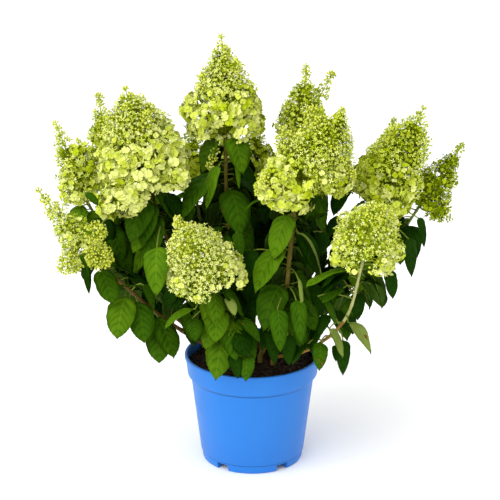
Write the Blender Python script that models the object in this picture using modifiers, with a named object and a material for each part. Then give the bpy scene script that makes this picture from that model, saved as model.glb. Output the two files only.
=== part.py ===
"""A panicle hydrangea growing in its blue nursery pot.

Metres, +Z up. The pot stands on z = 0 and the viewer looks along +Y. Each shoot rises from the soil as
a bare bough, goes on as a stem with pairs of leaves, and ends in a bloom: three solids to a shoot.
"""

import math
import random
from collections import namedtuple

import bmesh
import bpy
from mathutils import Vector
from mathutils.bvhtree import BVHTree

# Pot
RIM_RADIUS = 0.1165
POT_HEIGHT = 0.190
LIP_DEPTH = 0.007
LIP_ROUND = 0.002
LIP_STEP = 0.001
BAND_RADIUS = 0.1145
BAND_FOOT_RADIUS = 0.1118
BAND_FOOT_HEIGHT = 0.1555
WALL_TOP_RADIUS = 0.1055
WALL_TOP_HEIGHT = 0.149
WALL_FOOT_RADIUS = 0.0893
RING_HEIGHT = 0.015
RING_STEP = 0.001
RING_ROUND = 0.003
RING_RADIUS = 0.0880
BASE_RADIUS = 0.0865
RING_WIDTH = 0.010
WALL = 0.0024
POT_STEPS = 32
FOOT_COUNT = 5
NOTCH_WIDTH = 0.022
NOTCH_HEIGHT = 0.012

# Soil
GAP = 0.0003
SOIL_HEIGHT = 0.176
SOIL_EDGE_DROP = 0.004
SOIL_FLAT_RADIUS = 0.068
SOIL_STEPS = 24

# Stems
FOOT_SPREAD = 0.19
FOOT_RISE = 0.014
BEND_OUT_SHARE = 0.58
BEND_UP_SHARE = 0.44
KNOT_STEPS = 12
WAY_STEPS = 40
BOUGH_RADIUS = 0.0043
BOUGH_TIP_RADIUS = 0.0036
STEM_RADIUS = 0.0034
STEM_TIP_RADIUS = 0.0024
RACHIS_RADIUS = 0.0022
RACHIS_TIP_RADIUS = 0.0009
BARE_SHARE = 0.30
JOINT_LENGTH = 0.003
JOINT_GAP = 0.0004
BOUGH_STEPS = 3
STEM_STEPS = 6

# Leaves
PAIR_SPACING = 0.038
LEAF_LENGTH = 0.100
UPPER_LEAF_SHARE = 0.72
LEAF_WIDTH_SHARE = 0.52
LEAF_KEEL_SHARE = 0.022
PETIOLE_SHARE = 0.20
PETIOLE_RADIUS = 0.0013
SHOWN_RISE = 0.062
ARCH_OUT_SHARE = 0.62
ARCH_UP_SHARE = 0.16
BLADE_STATIONS = ((0.30, 1.0), (0.66, 0.80))
LEAST_DROOP = 28
MOST_DROOP = 62
LOW_LEAF_DROOP = 12
LEAF_MARGIN = 0.0011
LEAF_SEED = 7
LEAF_TRIES = 6
LOWEST_TIP = 0.222
SKIRT_RADIUS = 0.17
SKIRT_SLOPE = 1.0

# Blooms
FLORET_REACH = 0.0170
TOP_FLORET_REACH = 0.0080
FLORET_ROOT_SHARE = 0.09
CORE_SHARE = 0.88
LOOSE_CORE_SHARE = 0.80
OPEN_CORE_SHARE = 0.46
CORE_SIDES = 6
FLORET_AREA = 0.0032
GOLDEN_ANGLE = math.radians(137.508)
LEAST_FLORETS = 7
LOW_CROWDING = 1.25
BRANCH_RISE = 0.10
BRANCH_START = 0.12
BUD_REACH = 0.0035
NECK_LENGTH = 0.006
CONE_PROFILE = (
    (0.0, 0.66), (0.1, 1.0), (0.25, 0.95), (0.5, 0.72), (0.68, 0.48), (0.82, 0.26), (0.9, 0.16), (1.0, 0.08),
)
SHOULDER_PROFILE = (
    (0.0, 0.62), (0.1, 0.96), (0.28, 1.0), (0.5, 0.84), (0.72, 0.64), (0.84, 0.34), (0.91, 0.17), (1.0, 0.08),
)
EGG_PROFILE = ((0.0, 0.56), (0.12, 0.90), (0.3, 1.0), (0.5, 0.88), (0.7, 0.64), (0.88, 0.36), (1.0, 0.14))
DOME_PROFILE = ((0.0, 0.50), (0.15, 0.86), (0.4, 1.0), (0.65, 0.86), (0.85, 0.55), (1.0, 0.16))
FORMS = {"cone": CONE_PROFILE, "shoulder": SHOULDER_PROFILE, "egg": EGG_PROFILE, "dome": DOME_PROFILE}
CORE_STATIONS = (0.07, 0.2, 0.42, 0.64, 0.84)
BLOOM_MARGIN = 0.0012

# Every shoot: where it turns on the way up, its neck below the bloom, the bloom's tip and radius, its side
# lobes as centre and radius, and the tips of the leaves that hang plain to see.
Shoot = namedtuple("Shoot", "name bends neck tip radius profile core lobes twist shown")


def shoot(name, neck, tip, radius, bends=(), form="cone", core=CORE_SHARE, lobes=(), twist=0.0, shown=()):
    return Shoot(name, bends, neck, tip, radius, FORMS[form], core, lobes, twist, shown)


SHOOTS = (
    shoot(
        "a", (-0.045, 0.018, 0.571), (-0.051, 0.020, 0.739), 0.074,
        bends=((-0.030, 0.000, 0.330), (-0.043, 0.002, 0.464)),
        lobes=(((-0.066, -0.012, 0.540), 0.016),), twist=45,
        shown=((-0.076, -0.055, 0.520), (-0.018, -0.055, 0.526), (-0.072, -0.070, 0.467),
               (-0.116, -0.050, 0.447), (-0.019, -0.060, 0.419)),
    ),
    shoot(
        "b", (-0.171, -0.030, 0.497), (-0.207, -0.030, 0.665), 0.080, form="shoulder",
        lobes=(((-0.215, -0.100, 0.492), 0.042), ((-0.126, -0.075, 0.526), 0.026)), twist=65,
        shown=((-0.200, -0.080, 0.413), (-0.182, -0.070, 0.406), (-0.133, -0.060, 0.450),
               (-0.155, -0.130, 0.339)),
    ),
    shoot("back_left", (-0.243, 0.100, 0.450), (-0.262, 0.105, 0.620), 0.050, twist=10),
    shoot("c", (-0.281, 0.020, 0.458), (-0.328, 0.020, 0.593), 0.041, core=LOOSE_CORE_SHARE, twist=50),
    shoot(
        "d", (-0.262, -0.080, 0.386), (-0.350, -0.070, 0.503), 0.041, core=OPEN_CORE_SHARE,
        bends=((-0.143, -0.062, 0.271), (-0.212, -0.085, 0.343)),
        lobes=(((-0.245, -0.138, 0.411), 0.024), ((-0.300, -0.112, 0.390), 0.021),
               ((-0.250, -0.145, 0.455), 0.020)), twist=35,
        shown=((-0.227, -0.140, 0.330), (-0.221, -0.150, 0.273), (-0.177, -0.140, 0.262),
               (-0.154, -0.130, 0.222), (-0.129, -0.130, 0.231)),
    ),
    shoot(
        "e", (-0.070, -0.125, 0.360), (-0.119, -0.216, 0.503), 0.068, core=LOOSE_CORE_SHARE,
        bends=((-0.040, -0.085, 0.270),), twist=80,
        shown=((-0.061, -0.147, 0.198), (-0.018, -0.150, 0.240), (-0.001, -0.140, 0.220),
               (-0.068, -0.150, 0.284)),
    ),
    shoot(
        "f", (0.068, -0.100, 0.487), (0.145, -0.105, 0.650), 0.074, form="shoulder",
        bends=((0.050, -0.078, 0.292), (0.061, -0.095, 0.400)),
        lobes=(((0.040, -0.140, 0.533), 0.038), ((0.135, -0.122, 0.538), 0.030),
               ((0.054, -0.085, 0.590), 0.021)), twist=45,
        shown=((0.034, -0.145, 0.408), (0.004, -0.150, 0.353), (0.018, -0.140, 0.283),
               (0.047, -0.130, 0.235), (0.104, -0.140, 0.380)),
    ),
    shoot(
        "behind_f", (0.082, 0.070, 0.548), (0.090, 0.070, 0.677), 0.049,
        lobes=(((0.124, 0.090, 0.639), 0.022),), twist=45,
    ),
    shoot("g", (0.207, 0.000, 0.455), (0.285, 0.018, 0.620), 0.060, form="shoulder", twist=15),
    shoot(
        "h", (0.286, 0.060, 0.435), (0.356, 0.068, 0.541), 0.046, core=OPEN_CORE_SHARE,
        lobes=(((0.322, 0.060, 0.425), 0.022),), twist=70,
        shown=((0.269, 0.015, 0.340), (0.290, 0.020, 0.386)),
    ),
    shoot(
        "i", (0.178, -0.150, 0.409), (0.192, -0.236, 0.526), 0.065, form="egg", core=LOOSE_CORE_SHARE,
        bends=((0.100, -0.085, 0.232), (0.154, -0.120, 0.300)), twist=40,
        shown=((0.087, -0.180, 0.378), (0.203, -0.200, 0.348), (0.226, -0.185, 0.358), (0.193, -0.150, 0.247),
               (0.151, -0.160, 0.212), (0.107, -0.150, 0.215)),
    ),
    shoot("j", (-0.103, 0.150, 0.440), (-0.107, 0.165, 0.560), 0.044, twist=30),
    shoot("k", (0.006, 0.135, 0.455), (0.002, 0.143, 0.572), 0.046, twist=60),
    shoot("rear_left", (-0.170, 0.200, 0.420), (-0.200, 0.240, 0.552), 0.058, twist=5),
    shoot("rear_mid", (-0.040, 0.230, 0.400), (-0.050, 0.285, 0.525), 0.060, twist=75),
    shoot("rear_right", (0.100, 0.200, 0.440), (0.118, 0.240, 0.585), 0.058, twist=35),
    shoot("rear_end", (0.210, 0.140, 0.420), (0.248, 0.180, 0.556), 0.056, twist=55),
    shoot("rear_low", (0.060, 0.240, 0.312), (0.082, 0.305, 0.415), 0.048, form="egg", twist=20),
)

# Colours of the solids, as plain linear values
POT_BLUE = (0.050, 0.270, 0.800, 1.0)
SOIL_BROWN = (0.030, 0.018, 0.010, 1.0)
STEM_BROWN = (0.150, 0.070, 0.035, 1.0)
LEAF_GREEN = (0.100, 0.280, 0.025, 1.0)
BLOOM_LIME = (0.560, 0.700, 0.170, 1.0)


# Scene and materials
def clear_scene():
    for obj in list(bpy.data.objects):
        bpy.data.objects.remove(obj)


def new_collection(name):
    collection = bpy.data.collections.new(name)
    bpy.context.scene.collection.children.link(collection)
    return collection


def give_material(obj, colour, roughness):
    material = bpy.data.materials.new(obj.name)
    material.use_nodes = True
    shader = material.node_tree.nodes["Principled BSDF"]
    shader.inputs["Base Color"].default_value = colour
    shader.inputs["Roughness"].default_value = roughness
    material.diffuse_color = colour
    obj.data.materials.clear()
    obj.data.materials.append(material)


def mesh_object(name, points, faces, collection):
    mesh = bpy.data.meshes.new(name)
    mesh.from_pydata([tuple(point) for point in points], [], faces)
    mesh.validate()
    obj = bpy.data.objects.new(name, mesh)
    collection.objects.link(obj)
    return obj


def evaluated_mesh(obj):
    bpy.context.view_layer.update()
    graph = bpy.context.evaluated_depsgraph_get()
    return bpy.data.meshes.new_from_object(obj.evaluated_get(graph))


def apply_modifiers(obj):
    mesh = evaluated_mesh(obj)
    obj.modifiers.clear()
    obj.data = mesh


def surface_tree(points, faces):
    return BVHTree.FromPolygons([tuple(point) for point in points], faces, epsilon=0.0)


# Pot and soil
def lathe(name, profile, steps, collection):
    """A closed solid turned from a profile that runs from the axis, round the outside, back to the axis."""
    points = [(radius, 0.0, height) for radius, height in profile]
    edges = [(index, index + 1) for index in range(len(points) - 1)]
    mesh = bpy.data.meshes.new(name)
    mesh.from_pydata(points, edges, [])
    obj = bpy.data.objects.new(name, mesh)
    collection.objects.link(obj)
    screw = obj.modifiers.new("turn", "SCREW")
    screw.axis = "Z"
    screw.steps = steps
    screw.render_steps = steps
    screw.use_merge_vertices = True
    screw.merge_threshold = 0.0001
    screw.use_smooth_shade = True
    return obj


def pot_profile():
    inner_top = RIM_RADIUS - 2 * WALL
    floor = RING_HEIGHT + WALL
    return (
        (0.0, floor),
        (WALL_FOOT_RADIUS - WALL, floor),
        (WALL_TOP_RADIUS - WALL, WALL_TOP_HEIGHT),
        (BAND_FOOT_RADIUS - WALL, BAND_FOOT_HEIGHT),
        (inner_top, POT_HEIGHT),
        (RIM_RADIUS - LIP_ROUND, POT_HEIGHT),
        (RIM_RADIUS, POT_HEIGHT - LIP_ROUND),
        (RIM_RADIUS, POT_HEIGHT - LIP_DEPTH + LIP_STEP),
        (RIM_RADIUS - LIP_STEP, POT_HEIGHT - LIP_DEPTH),
        (BAND_RADIUS, POT_HEIGHT - LIP_DEPTH),
        (BAND_FOOT_RADIUS, BAND_FOOT_HEIGHT),
        (WALL_TOP_RADIUS, WALL_TOP_HEIGHT),
        (WALL_FOOT_RADIUS, RING_HEIGHT + RING_STEP),
        (RING_RADIUS, RING_HEIGHT),
        (BASE_RADIUS, RING_ROUND),
        (BASE_RADIUS - RING_ROUND, 0.0),
        (BASE_RADIUS - RING_WIDTH, 0.0),
        (BASE_RADIUS - RING_WIDTH, RING_HEIGHT),
        (0.0, RING_HEIGHT),
    )


def inner_radius(height):
    """Radius of the pot's inner wall at a height."""
    if height < WALL_TOP_HEIGHT:
        share = (height - RING_HEIGHT - WALL) / (WALL_TOP_HEIGHT - RING_HEIGHT - WALL)
        return WALL_FOOT_RADIUS - WALL + share * (WALL_TOP_RADIUS - WALL_FOOT_RADIUS)
    if height < BAND_FOOT_HEIGHT:
        share = (height - WALL_TOP_HEIGHT) / (BAND_FOOT_HEIGHT - WALL_TOP_HEIGHT)
        return WALL_TOP_RADIUS - WALL + share * (BAND_FOOT_RADIUS - WALL_TOP_RADIUS)
    share = (height - BAND_FOOT_HEIGHT) / (POT_HEIGHT - BAND_FOOT_HEIGHT)
    foot = BAND_FOOT_RADIUS - WALL
    return foot + share * (RIM_RADIUS - 2 * WALL - foot)


def soil_profile():
    clear = 3 * GAP
    bottom = RING_HEIGHT + WALL + GAP
    edge = SOIL_HEIGHT - SOIL_EDGE_DROP
    return (
        (0.0, SOIL_HEIGHT),
        (SOIL_FLAT_RADIUS, SOIL_HEIGHT),
        (inner_radius(edge) - clear, edge),
        (inner_radius(BAND_FOOT_HEIGHT) - clear, BAND_FOOT_HEIGHT),
        (inner_radius(WALL_TOP_HEIGHT) - clear, WALL_TOP_HEIGHT),
        (inner_radius(bottom) - clear, bottom),
        (0.0, bottom),
    )


def build_pot(collection, cutters):
    pot = lathe("pot", pot_profile(), POT_STEPS, collection)
    for index in range(FOOT_COUNT):
        angle = 2 * math.pi * (index + 0.5) / FOOT_COUNT
        middle = BASE_RADIUS - RING_WIDTH / 2
        bpy.ops.mesh.primitive_cube_add(size=1)
        notch = bpy.context.object
        notch.name = "notch_%d" % index
        for owner in list(notch.users_collection):
            owner.objects.unlink(notch)
        cutters.objects.link(notch)
        notch.scale = (NOTCH_WIDTH, 3 * RING_WIDTH, 2 * NOTCH_HEIGHT)
        notch.location = (middle * math.sin(angle), -middle * math.cos(angle), 0)
        notch.rotation_euler = (0, 0, angle)
        notch.hide_render = True
        notch.display_type = "WIRE"
        cut = pot.modifiers.new(notch.name, "BOOLEAN")
        cut.operation = "DIFFERENCE"
        cut.solver = "EXACT"
        cut.object = notch
    give_material(pot, POT_BLUE, 0.4)
    return pot


# Ways of the shoots
def smooth_way(knots, steps):
    """Points spaced evenly along a smooth curve through the knots."""
    knots = [Vector(knot) for knot in knots]
    ends = [2 * knots[0] - knots[1]] + knots + [2 * knots[-1] - knots[-2]]
    fine = []
    for index in range(1, len(ends) - 2):
        before, start, end, after = ends[index - 1:index + 3]
        for step in range(KNOT_STEPS):
            t = step / KNOT_STEPS
            bend = (2 * before - 5 * start + 4 * end - after) * t * t
            twist = (3 * start - before - 3 * end + after) * t * t * t
            fine.append(0.5 * (2 * start + (end - before) * t + bend + twist))
    fine.append(knots[-1])
    return even_points(fine, steps)


def even_points(line, steps):
    lengths = [0.0]
    for before, after in zip(line, line[1:]):
        lengths.append(lengths[-1] + (after - before).length)
    return [point_along(line, lengths, lengths[-1] * step / steps) for step in range(steps + 1)]


def point_along(line, lengths, distance):
    for index in range(1, len(line)):
        if distance <= lengths[index] or index == len(line) - 1:
            share = (distance - lengths[index - 1]) / max(lengths[index] - lengths[index - 1], 1e-9)
            return line[index - 1].lerp(line[index], min(max(share, 0.0), 1.0))
    return line[-1]


def shoot_way(plant):
    """The whole line of a shoot from the soil to the neck of its bloom."""
    neck = Vector(plant.neck)
    foot = Vector((neck.x * FOOT_SPREAD, neck.y * FOOT_SPREAD, SOIL_HEIGHT + 2 * GAP))
    rise = foot + Vector((0, 0, FOOT_RISE))
    bends = [Vector(bend) for bend in plant.bends]
    if not bends:
        outward = foot.lerp(neck, BEND_OUT_SHARE)
        outward.z = foot.z + BEND_UP_SHARE * (neck.z - foot.z)
        bends = [outward]
    return foot, smooth_way([rise] + bends + [neck], WAY_STEPS)


def split_way(plant):
    """The bough's points and the leafy stem's points, which start a gap further on."""
    foot, line = shoot_way(plant)
    cut = round(BARE_SHARE * (len(line) - 1))
    heading = (line[cut + 1] - line[cut - 1]).normalized()
    joint = line[cut]
    bough = [foot] + even_points(line[:cut], BOUGH_STEPS) + [joint - JOINT_LENGTH * heading, joint]
    start = joint + JOINT_GAP * heading
    stem = [start] + even_points([start + JOINT_LENGTH * heading] + line[cut + 1:], STEM_STEPS)
    return bough, stem


def limb(name, line, start_radius, end_radius, resolution, collection):
    """A tapering round limb along a line, with flat ends."""
    curve = bpy.data.curves.new(name, "CURVE")
    curve.dimensions = "3D"
    curve.bevel_depth = 1.0
    curve.bevel_resolution = resolution
    curve.use_fill_caps = True
    spline = curve.splines.new("POLY")
    spline.points.add(len(line) - 1)
    for index, (point, place) in enumerate(zip(spline.points, line)):
        share = index / (len(line) - 1)
        point.co = (*place, 1.0)
        point.radius = start_radius + share * (end_radius - start_radius)
    guide = bpy.data.objects.new(name + "_guide", curve)
    collection.objects.link(guide)
    mesh = evaluated_mesh(guide)
    bpy.data.objects.remove(guide)
    shell = bmesh.new()
    shell.from_mesh(mesh)
    bmesh.ops.remove_doubles(shell, verts=shell.verts, dist=0.00001)
    bmesh.ops.recalc_face_normals(shell, faces=shell.faces)
    shell.to_mesh(mesh)
    shell.free()
    obj = bpy.data.objects.new(name, mesh)
    collection.objects.link(obj)
    return obj


# Leaves
def across(direction):
    """A level direction square to the given one."""
    level = Vector((direction.x, direction.y, 0.0))
    if level.length < 1e-6:
        level = Vector((0.0, -1.0, 0.0))
    level.normalize()
    return Vector((-level.y, level.x, 0.0))


def leaf_line(root, tip):
    """The midrib: out and up from the stem, then over and down to the tip."""
    span = tip - root
    level = Vector((span.x, span.y, 0.0))
    top = root + ARCH_OUT_SHARE * level + Vector((0, 0, ARCH_UP_SHARE * span.length))

    def place(t):
        return (1 - t) ** 2 * root + 2 * t * (1 - t) * top + t * t * tip

    return place


def leaf_solid(root, tip, margin):
    """A keeled blade on its petiole, three-sided throughout, as points and faces."""
    place = leaf_line(root, tip)
    length = sum((place((k + 1) / 8) - place(k / 8)).length for k in range(8))
    side = across(tip - root)
    half = LEAF_WIDTH_SHARE * length * (1 - PETIOLE_SHARE) / 2
    keel = LEAF_KEEL_SHARE * length
    stations = [(PETIOLE_SHARE, PETIOLE_RADIUS, 2 * PETIOLE_RADIUS)]
    for share, width in BLADE_STATIONS:
        stations.append((PETIOLE_SHARE + share * (1 - PETIOLE_SHARE), width * half, width * keel))
    points = [place(0.0)]
    for share, width, depth in stations:
        centre = place(share)
        ahead = (place(share + 0.02) - centre).normalized()
        up = side.cross(ahead)
        if up.z < 0:
            up = -up
        points.append(centre + (width + margin) * side + margin * up)
        points.append(centre - (width + margin) * side + margin * up)
        points.append(centre - (depth + margin) * up)
    points.append(place(1.0) + margin * (tip - root).normalized())
    faces = [(0, 2, 1), (0, 3, 2), (0, 1, 3)]
    for ring in range(len(stations) - 1):
        first = 1 + 3 * ring
        for corner in range(3):
            here = first + corner
            following = first + (corner + 1) % 3
            faces.append((here, following, following + 3, here + 3))
    last = 1 + 3 * (len(stations) - 1)
    end = last + 3
    faces += [(last, last + 1, end), (last + 1, last + 2, end), (last + 2, last, end)]
    return points, faces


def outward_faces(points, faces):
    """The same faces, turned to face outward if their volume comes out negative."""
    volume = 0.0
    for face in faces:
        for index in range(1, len(face) - 1):
            a, b, c = points[face[0]], points[face[index]], points[face[index + 1]]
            volume += a.dot(b.cross(c))
    return faces if volume > 0 else [tuple(reversed(face)) for face in faces]


def lowest_tip(tip):
    """The skirt of leaves hangs lowest round the pot, and lifts towards the outer shoots."""
    return LOWEST_TIP + SKIRT_SLOPE * max(0.0, math.hypot(tip.x, tip.y) - SKIRT_RADIUS)


def leaf_roots(plant, stem):
    """Root and possible tips of each leaf of a shoot: those plain to see, then opposite pairs."""
    rng = random.Random("%s %d" % (plant.name, LEAF_SEED))
    lengths = [0.0]
    for before, after in zip(stem, stem[1:]):
        lengths.append(lengths[-1] + (after - before).length)
    leaves = []
    for shown in plant.shown:
        tip = Vector(shown)
        height = min(max(tip.z + SHOWN_RISE, stem[0].z + 0.004), stem[-1].z - 0.006)
        distance = lengths[-1] * 0.5
        for step in range(101):
            distance = lengths[-1] * step / 100
            if point_along(stem, lengths, distance).z >= height:
                break
        leaves.append((point_along(stem, lengths, distance), [tip]))
    pairs = max(2, round(lengths[-1] / PAIR_SPACING))
    for pair in range(pairs):
        share = 0.03 + 0.93 * pair / (pairs - 1)
        root = point_along(stem, lengths, share * lengths[-1])
        turn = math.radians(plant.twist + 90 * pair)
        for flip in (0.0, math.pi):
            tips = []
            for attempt in range(LEAF_TRIES):
                stray = 0.2 + 0.13 * attempt
                angle = turn + flip + rng.uniform(-stray, stray)
                length = LEAF_LENGTH * (1 - (1 - UPPER_LEAF_SHARE) * share) * rng.uniform(0.88, 1.10)
                length *= 1 - 0.05 * attempt
                droop = math.radians(rng.uniform(LEAST_DROOP, MOST_DROOP) + LOW_LEAF_DROOP * (1 - share))
                reach = Vector((math.cos(angle), math.sin(angle), 0.0)) * math.cos(droop)
                tip = root + length * (reach - Vector((0, 0, math.sin(droop))))
                if tip.z > lowest_tip(tip):
                    tips.append(tip)
            leaves.append((root, tips))
    return leaves


# Blooms
def profile_radius(profile, share):
    for (start, low), (end, high) in zip(profile, profile[1:]):
        if share <= end:
            return low + (high - low) * (share - start) / (end - start)
    return profile[-1][1]


def bloom_axes(axis):
    ahead = axis.normalized()
    side = ahead.cross(Vector((0.0, 1.0, 0.0))).normalized()
    return ahead, side, ahead.cross(side)


def core_solid(base, tip, radius, profile, core):
    """A closed spindle inside the bloom, which its florets stand out of."""
    axis = tip - base
    ahead, side, front = bloom_axes(axis)
    points = [base + 0.02 * axis]
    for station in CORE_STATIONS:
        reach = core * radius * profile_radius(profile, station)
        for step in range(CORE_SIDES):
            angle = 2 * math.pi * step / CORE_SIDES
            points.append(base + station * axis + reach * (math.cos(angle) * side + math.sin(angle) * front))
    points.append(base + 0.95 * axis)
    faces = []
    for step in range(CORE_SIDES):
        following = (step + 1) % CORE_SIDES
        faces.append((0, 1 + following, 1 + step))
        for ring in range(len(CORE_STATIONS) - 1):
            low = 1 + ring * CORE_SIDES
            high = low + CORE_SIDES
            faces.append((low + step, low + following, high + following, high + step))
        top = 1 + (len(CORE_STATIONS) - 1) * CORE_SIDES
        faces.append((top + step, top + following, len(points) - 1))
    return points, outward_faces(points, faces)


def floret_places(base, tip, radius, profile, rng):
    """Where each spray of the bloom ends: its root on the axis, its end, and how wide it spreads there."""
    axis = tip - base
    ahead, side, front = bloom_axes(axis)
    count = max(LEAST_FLORETS, round(2 * math.pi * radius * axis.length * 0.6 / FLORET_AREA))
    places = []
    turn = rng.uniform(0, 2 * math.pi)
    for index in range(count):
        share = 0.03 + 0.93 * ((index + 0.5) / count) ** LOW_CROWDING
        angle = turn + index * GOLDEN_ANGLE
        outward = math.cos(angle) * side + math.sin(angle) * front
        reach = radius * profile_radius(profile, share) * rng.uniform(0.90, 1.03)
        end = base + share * axis + reach * outward
        root = base + max(0.04, share - BRANCH_RISE) * axis + FLORET_ROOT_SHARE * reach * outward
        spread = FLORET_REACH + (TOP_FLORET_REACH - FLORET_REACH) * share
        places.append((root, end, spread * rng.uniform(0.9, 1.15)))
    return places


def floret_solid(root, end, spread, margin):
    """A spray of florets as a flat-ended wedge with four corners, which widens outward from its root."""
    ahead = (end - root).normalized()
    side = ahead.cross(Vector((0.0, 0.31, 0.95))).normalized()
    front = ahead.cross(side)
    width = spread + margin
    flat = end + margin * ahead
    points = [root, flat + width * side, flat + width * front, flat - width * side, flat - width * front]
    faces = [(0, 2, 1), (0, 3, 2), (0, 4, 3), (0, 1, 4), (1, 2, 3, 4)]
    return points, outward_faces(points, faces)


def bud_solid(centre, ahead, reach):
    """The small bud cluster that ends a bloom."""
    side = ahead.cross(Vector((0.0, 1.0, 0.0))).normalized()
    front = ahead.cross(side)
    points = [centre - 2 * reach * ahead]
    points += [centre + reach * side, centre + reach * front, centre - reach * side, centre - reach * front]
    points.append(centre + 1.2 * reach * ahead)
    faces = []
    for corner in range(4):
        here = 1 + corner
        following = 1 + (corner + 1) % 4
        faces.append((0, following, here))
        faces.append((here, following, 5))
    return points, outward_faces(points, faces)


# Keeping each mass in a space of its own
class Placed:
    """What already stands: a surface for each solid, with its owner and a ball round it."""

    def __init__(self):
        self.items = []

    def add(self, owner, points, faces):
        centre = sum(points, Vector()) / len(points)
        reach = max((point - centre).length for point in points)
        self.items.append((owner, surface_tree(points, faces), centre, reach))

    def add_object(self, owner, obj):
        points = [obj.matrix_world @ vertex.co for vertex in obj.data.vertices]
        self.add(owner, points, [tuple(face.vertices) for face in obj.data.polygons])

    def meets(self, owner, points, faces, own=False):
        """True if the solid touches one of another owner, or lies inside it."""
        tree = surface_tree(points, faces)
        centre = sum(points, Vector()) / len(points)
        reach = max((point - centre).length for point in points)
        for other, other_tree, other_centre, other_reach in self.items:
            if other == owner and not own:
                continue
            if (centre - other_centre).length > reach + other_reach:
                continue
            if tree.overlap(other_tree):
                return True
            place, normal, _, distance = other_tree.find_nearest(points[-1])
            if normal is not None and (points[-1] - place).dot(normal) < 0 and distance < other_reach:
                return True
        return False


def solid_pieces(obj):
    """An object's mesh and the faces of each of its separate shells."""
    shell = bmesh.new()
    shell.from_mesh(obj.data)
    shell.faces.ensure_lookup_table()
    left = set(shell.faces)
    groups = []
    while left:
        pending = [left.pop()]
        group = set(pending)
        while pending:
            face = pending.pop()
            for edge in face.edges:
                for neighbour in edge.link_faces:
                    if neighbour in left:
                        left.discard(neighbour)
                        group.add(neighbour)
                        pending.append(neighbour)
        groups.append(group)
    return shell, groups


def keep_main_shell(obj):
    """Drops loose scraps and the inner shells of sealed hollows."""
    shell, groups = solid_pieces(obj)
    if len(groups) > 1:
        main = max(groups, key=len)
        doomed = [face for group in groups if group is not main for face in group]
        bmesh.ops.delete(shell, geom=doomed, context="FACES")
        loose = [vertex for vertex in shell.verts if not vertex.link_faces]
        bmesh.ops.delete(shell, geom=loose, context="VERTS")
        shell.to_mesh(obj.data)
    shell.free()


def fuse(trunk, solids):
    """One Boolean union of a limb with the solids that grow from it."""
    pieces = bpy.data.collections.new(trunk.name + "_pieces")
    bpy.context.scene.collection.children.link(pieces)
    for index, (points, faces) in enumerate(solids):
        mesh_object("%s_piece_%d" % (trunk.name, index), points, faces, pieces)
    union = trunk.modifiers.new("union", "BOOLEAN")
    union.operation = "UNION"
    union.solver = "EXACT"
    union.operand_type = "COLLECTION"
    union.collection = pieces
    apply_modifiers(trunk)
    for piece in list(pieces.objects):
        bpy.data.objects.remove(piece)
    bpy.data.collections.remove(pieces)
    keep_main_shell(trunk)


# Building the plant
def build_limbs(collection, placed):
    """All boughs, leafy stems and bloom axes, so that what comes later keeps clear of them."""
    limbs = {}
    for plant in SHOOTS:
        bough_line, stem_line = split_way(plant)
        bough = limb("bough_" + plant.name, bough_line, BOUGH_RADIUS, BOUGH_TIP_RADIUS, 1, collection)
        stem = limb("leaves_" + plant.name, stem_line, STEM_RADIUS, STEM_TIP_RADIUS, 0, collection)
        neck, tip = Vector(plant.neck), Vector(plant.tip)
        heading = (stem_line[-1] - stem_line[-2]).normalized()
        base = neck + JOINT_GAP * heading
        rachis_line = [base, base + NECK_LENGTH * heading]
        rachis_line += even_points([neck.lerp(tip, BRANCH_START), tip], 3)
        rachis = limb("bloom_" + plant.name, rachis_line, RACHIS_RADIUS, RACHIS_TIP_RADIUS, 0, collection)
        for obj in (bough, stem, rachis):
            placed.add_object(obj.name, obj)
        limbs[plant.name] = (bough, stem, rachis, stem_line)
    return limbs


def bloom_bodies(plant):
    """Base, tip, radius and outline of the bloom and of each of its side lobes."""
    neck, tip = Vector(plant.neck), Vector(plant.tip)
    bodies = [(neck, tip, plant.radius, plant.profile)]
    for centre, radius in plant.lobes:
        centre = Vector(centre)
        root = neck.lerp(tip, BRANCH_START)
        heading = (centre - root).normalized()
        bodies.append((centre - radius * heading, centre + radius * heading, radius, DOME_PROFILE))
    return bodies


def build_bloom_cores(placed):
    cores = {}
    for plant in SHOOTS:
        owner = "bloom_" + plant.name
        solids = []
        for index, (base, tip, radius, profile) in enumerate(bloom_bodies(plant)):
            points, faces = core_solid(base, tip, radius, profile, plant.core)
            solids.append((points, faces))
            placed.add(owner, points, faces)
            if index:
                root = Vector(plant.neck).lerp(Vector(plant.tip), BRANCH_START)
                branch_points, branch_faces = floret_solid(tip, root, 2 * RACHIS_RADIUS, 0.0)
                solids.append((branch_points, branch_faces))
                placed.add(owner, branch_points, branch_faces)
        cores[plant.name] = solids
    return cores


def build_blooms(limbs, cores, placed):
    for plant in SHOOTS:
        owner = "bloom_" + plant.name
        rng = random.Random(plant.name)
        solids = cores[plant.name]
        for base, tip, radius, profile in bloom_bodies(plant):
            for root, end, spread in floret_places(base, tip, radius, profile, rng):
                if placed.meets(owner, *floret_solid(root, end, spread, BLOOM_MARGIN)):
                    continue
                points, faces = floret_solid(root, end, spread, 0.0)
                solids.append((points, faces))
                placed.add(owner, points, faces)
            solids.append(bud_solid(tip, (tip - base).normalized(), BUD_REACH))
        fuse(limbs[plant.name][2], solids)
        give_material(limbs[plant.name][2], BLOOM_LIME, 0.8)


def build_leaves(limbs, placed):
    made = 0
    for plant in SHOOTS:
        _, stem, _, stem_line = limbs[plant.name]
        owner = stem.name
        solids = []
        for root, tips in leaf_roots(plant, stem_line):
            for tip in tips:
                test_points, test_faces = leaf_solid(root, tip, LEAF_MARGIN)
                if placed.meets(owner, test_points, test_faces):
                    continue
                points, faces = leaf_solid(root, tip, 0.0)
                solids.append((points, outward_faces(points, faces)))
                placed.add(owner, points, faces)
                made += 1
                break
        fuse(stem, solids)
        give_material(stem, LEAF_GREEN, 0.6)
    return made


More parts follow.
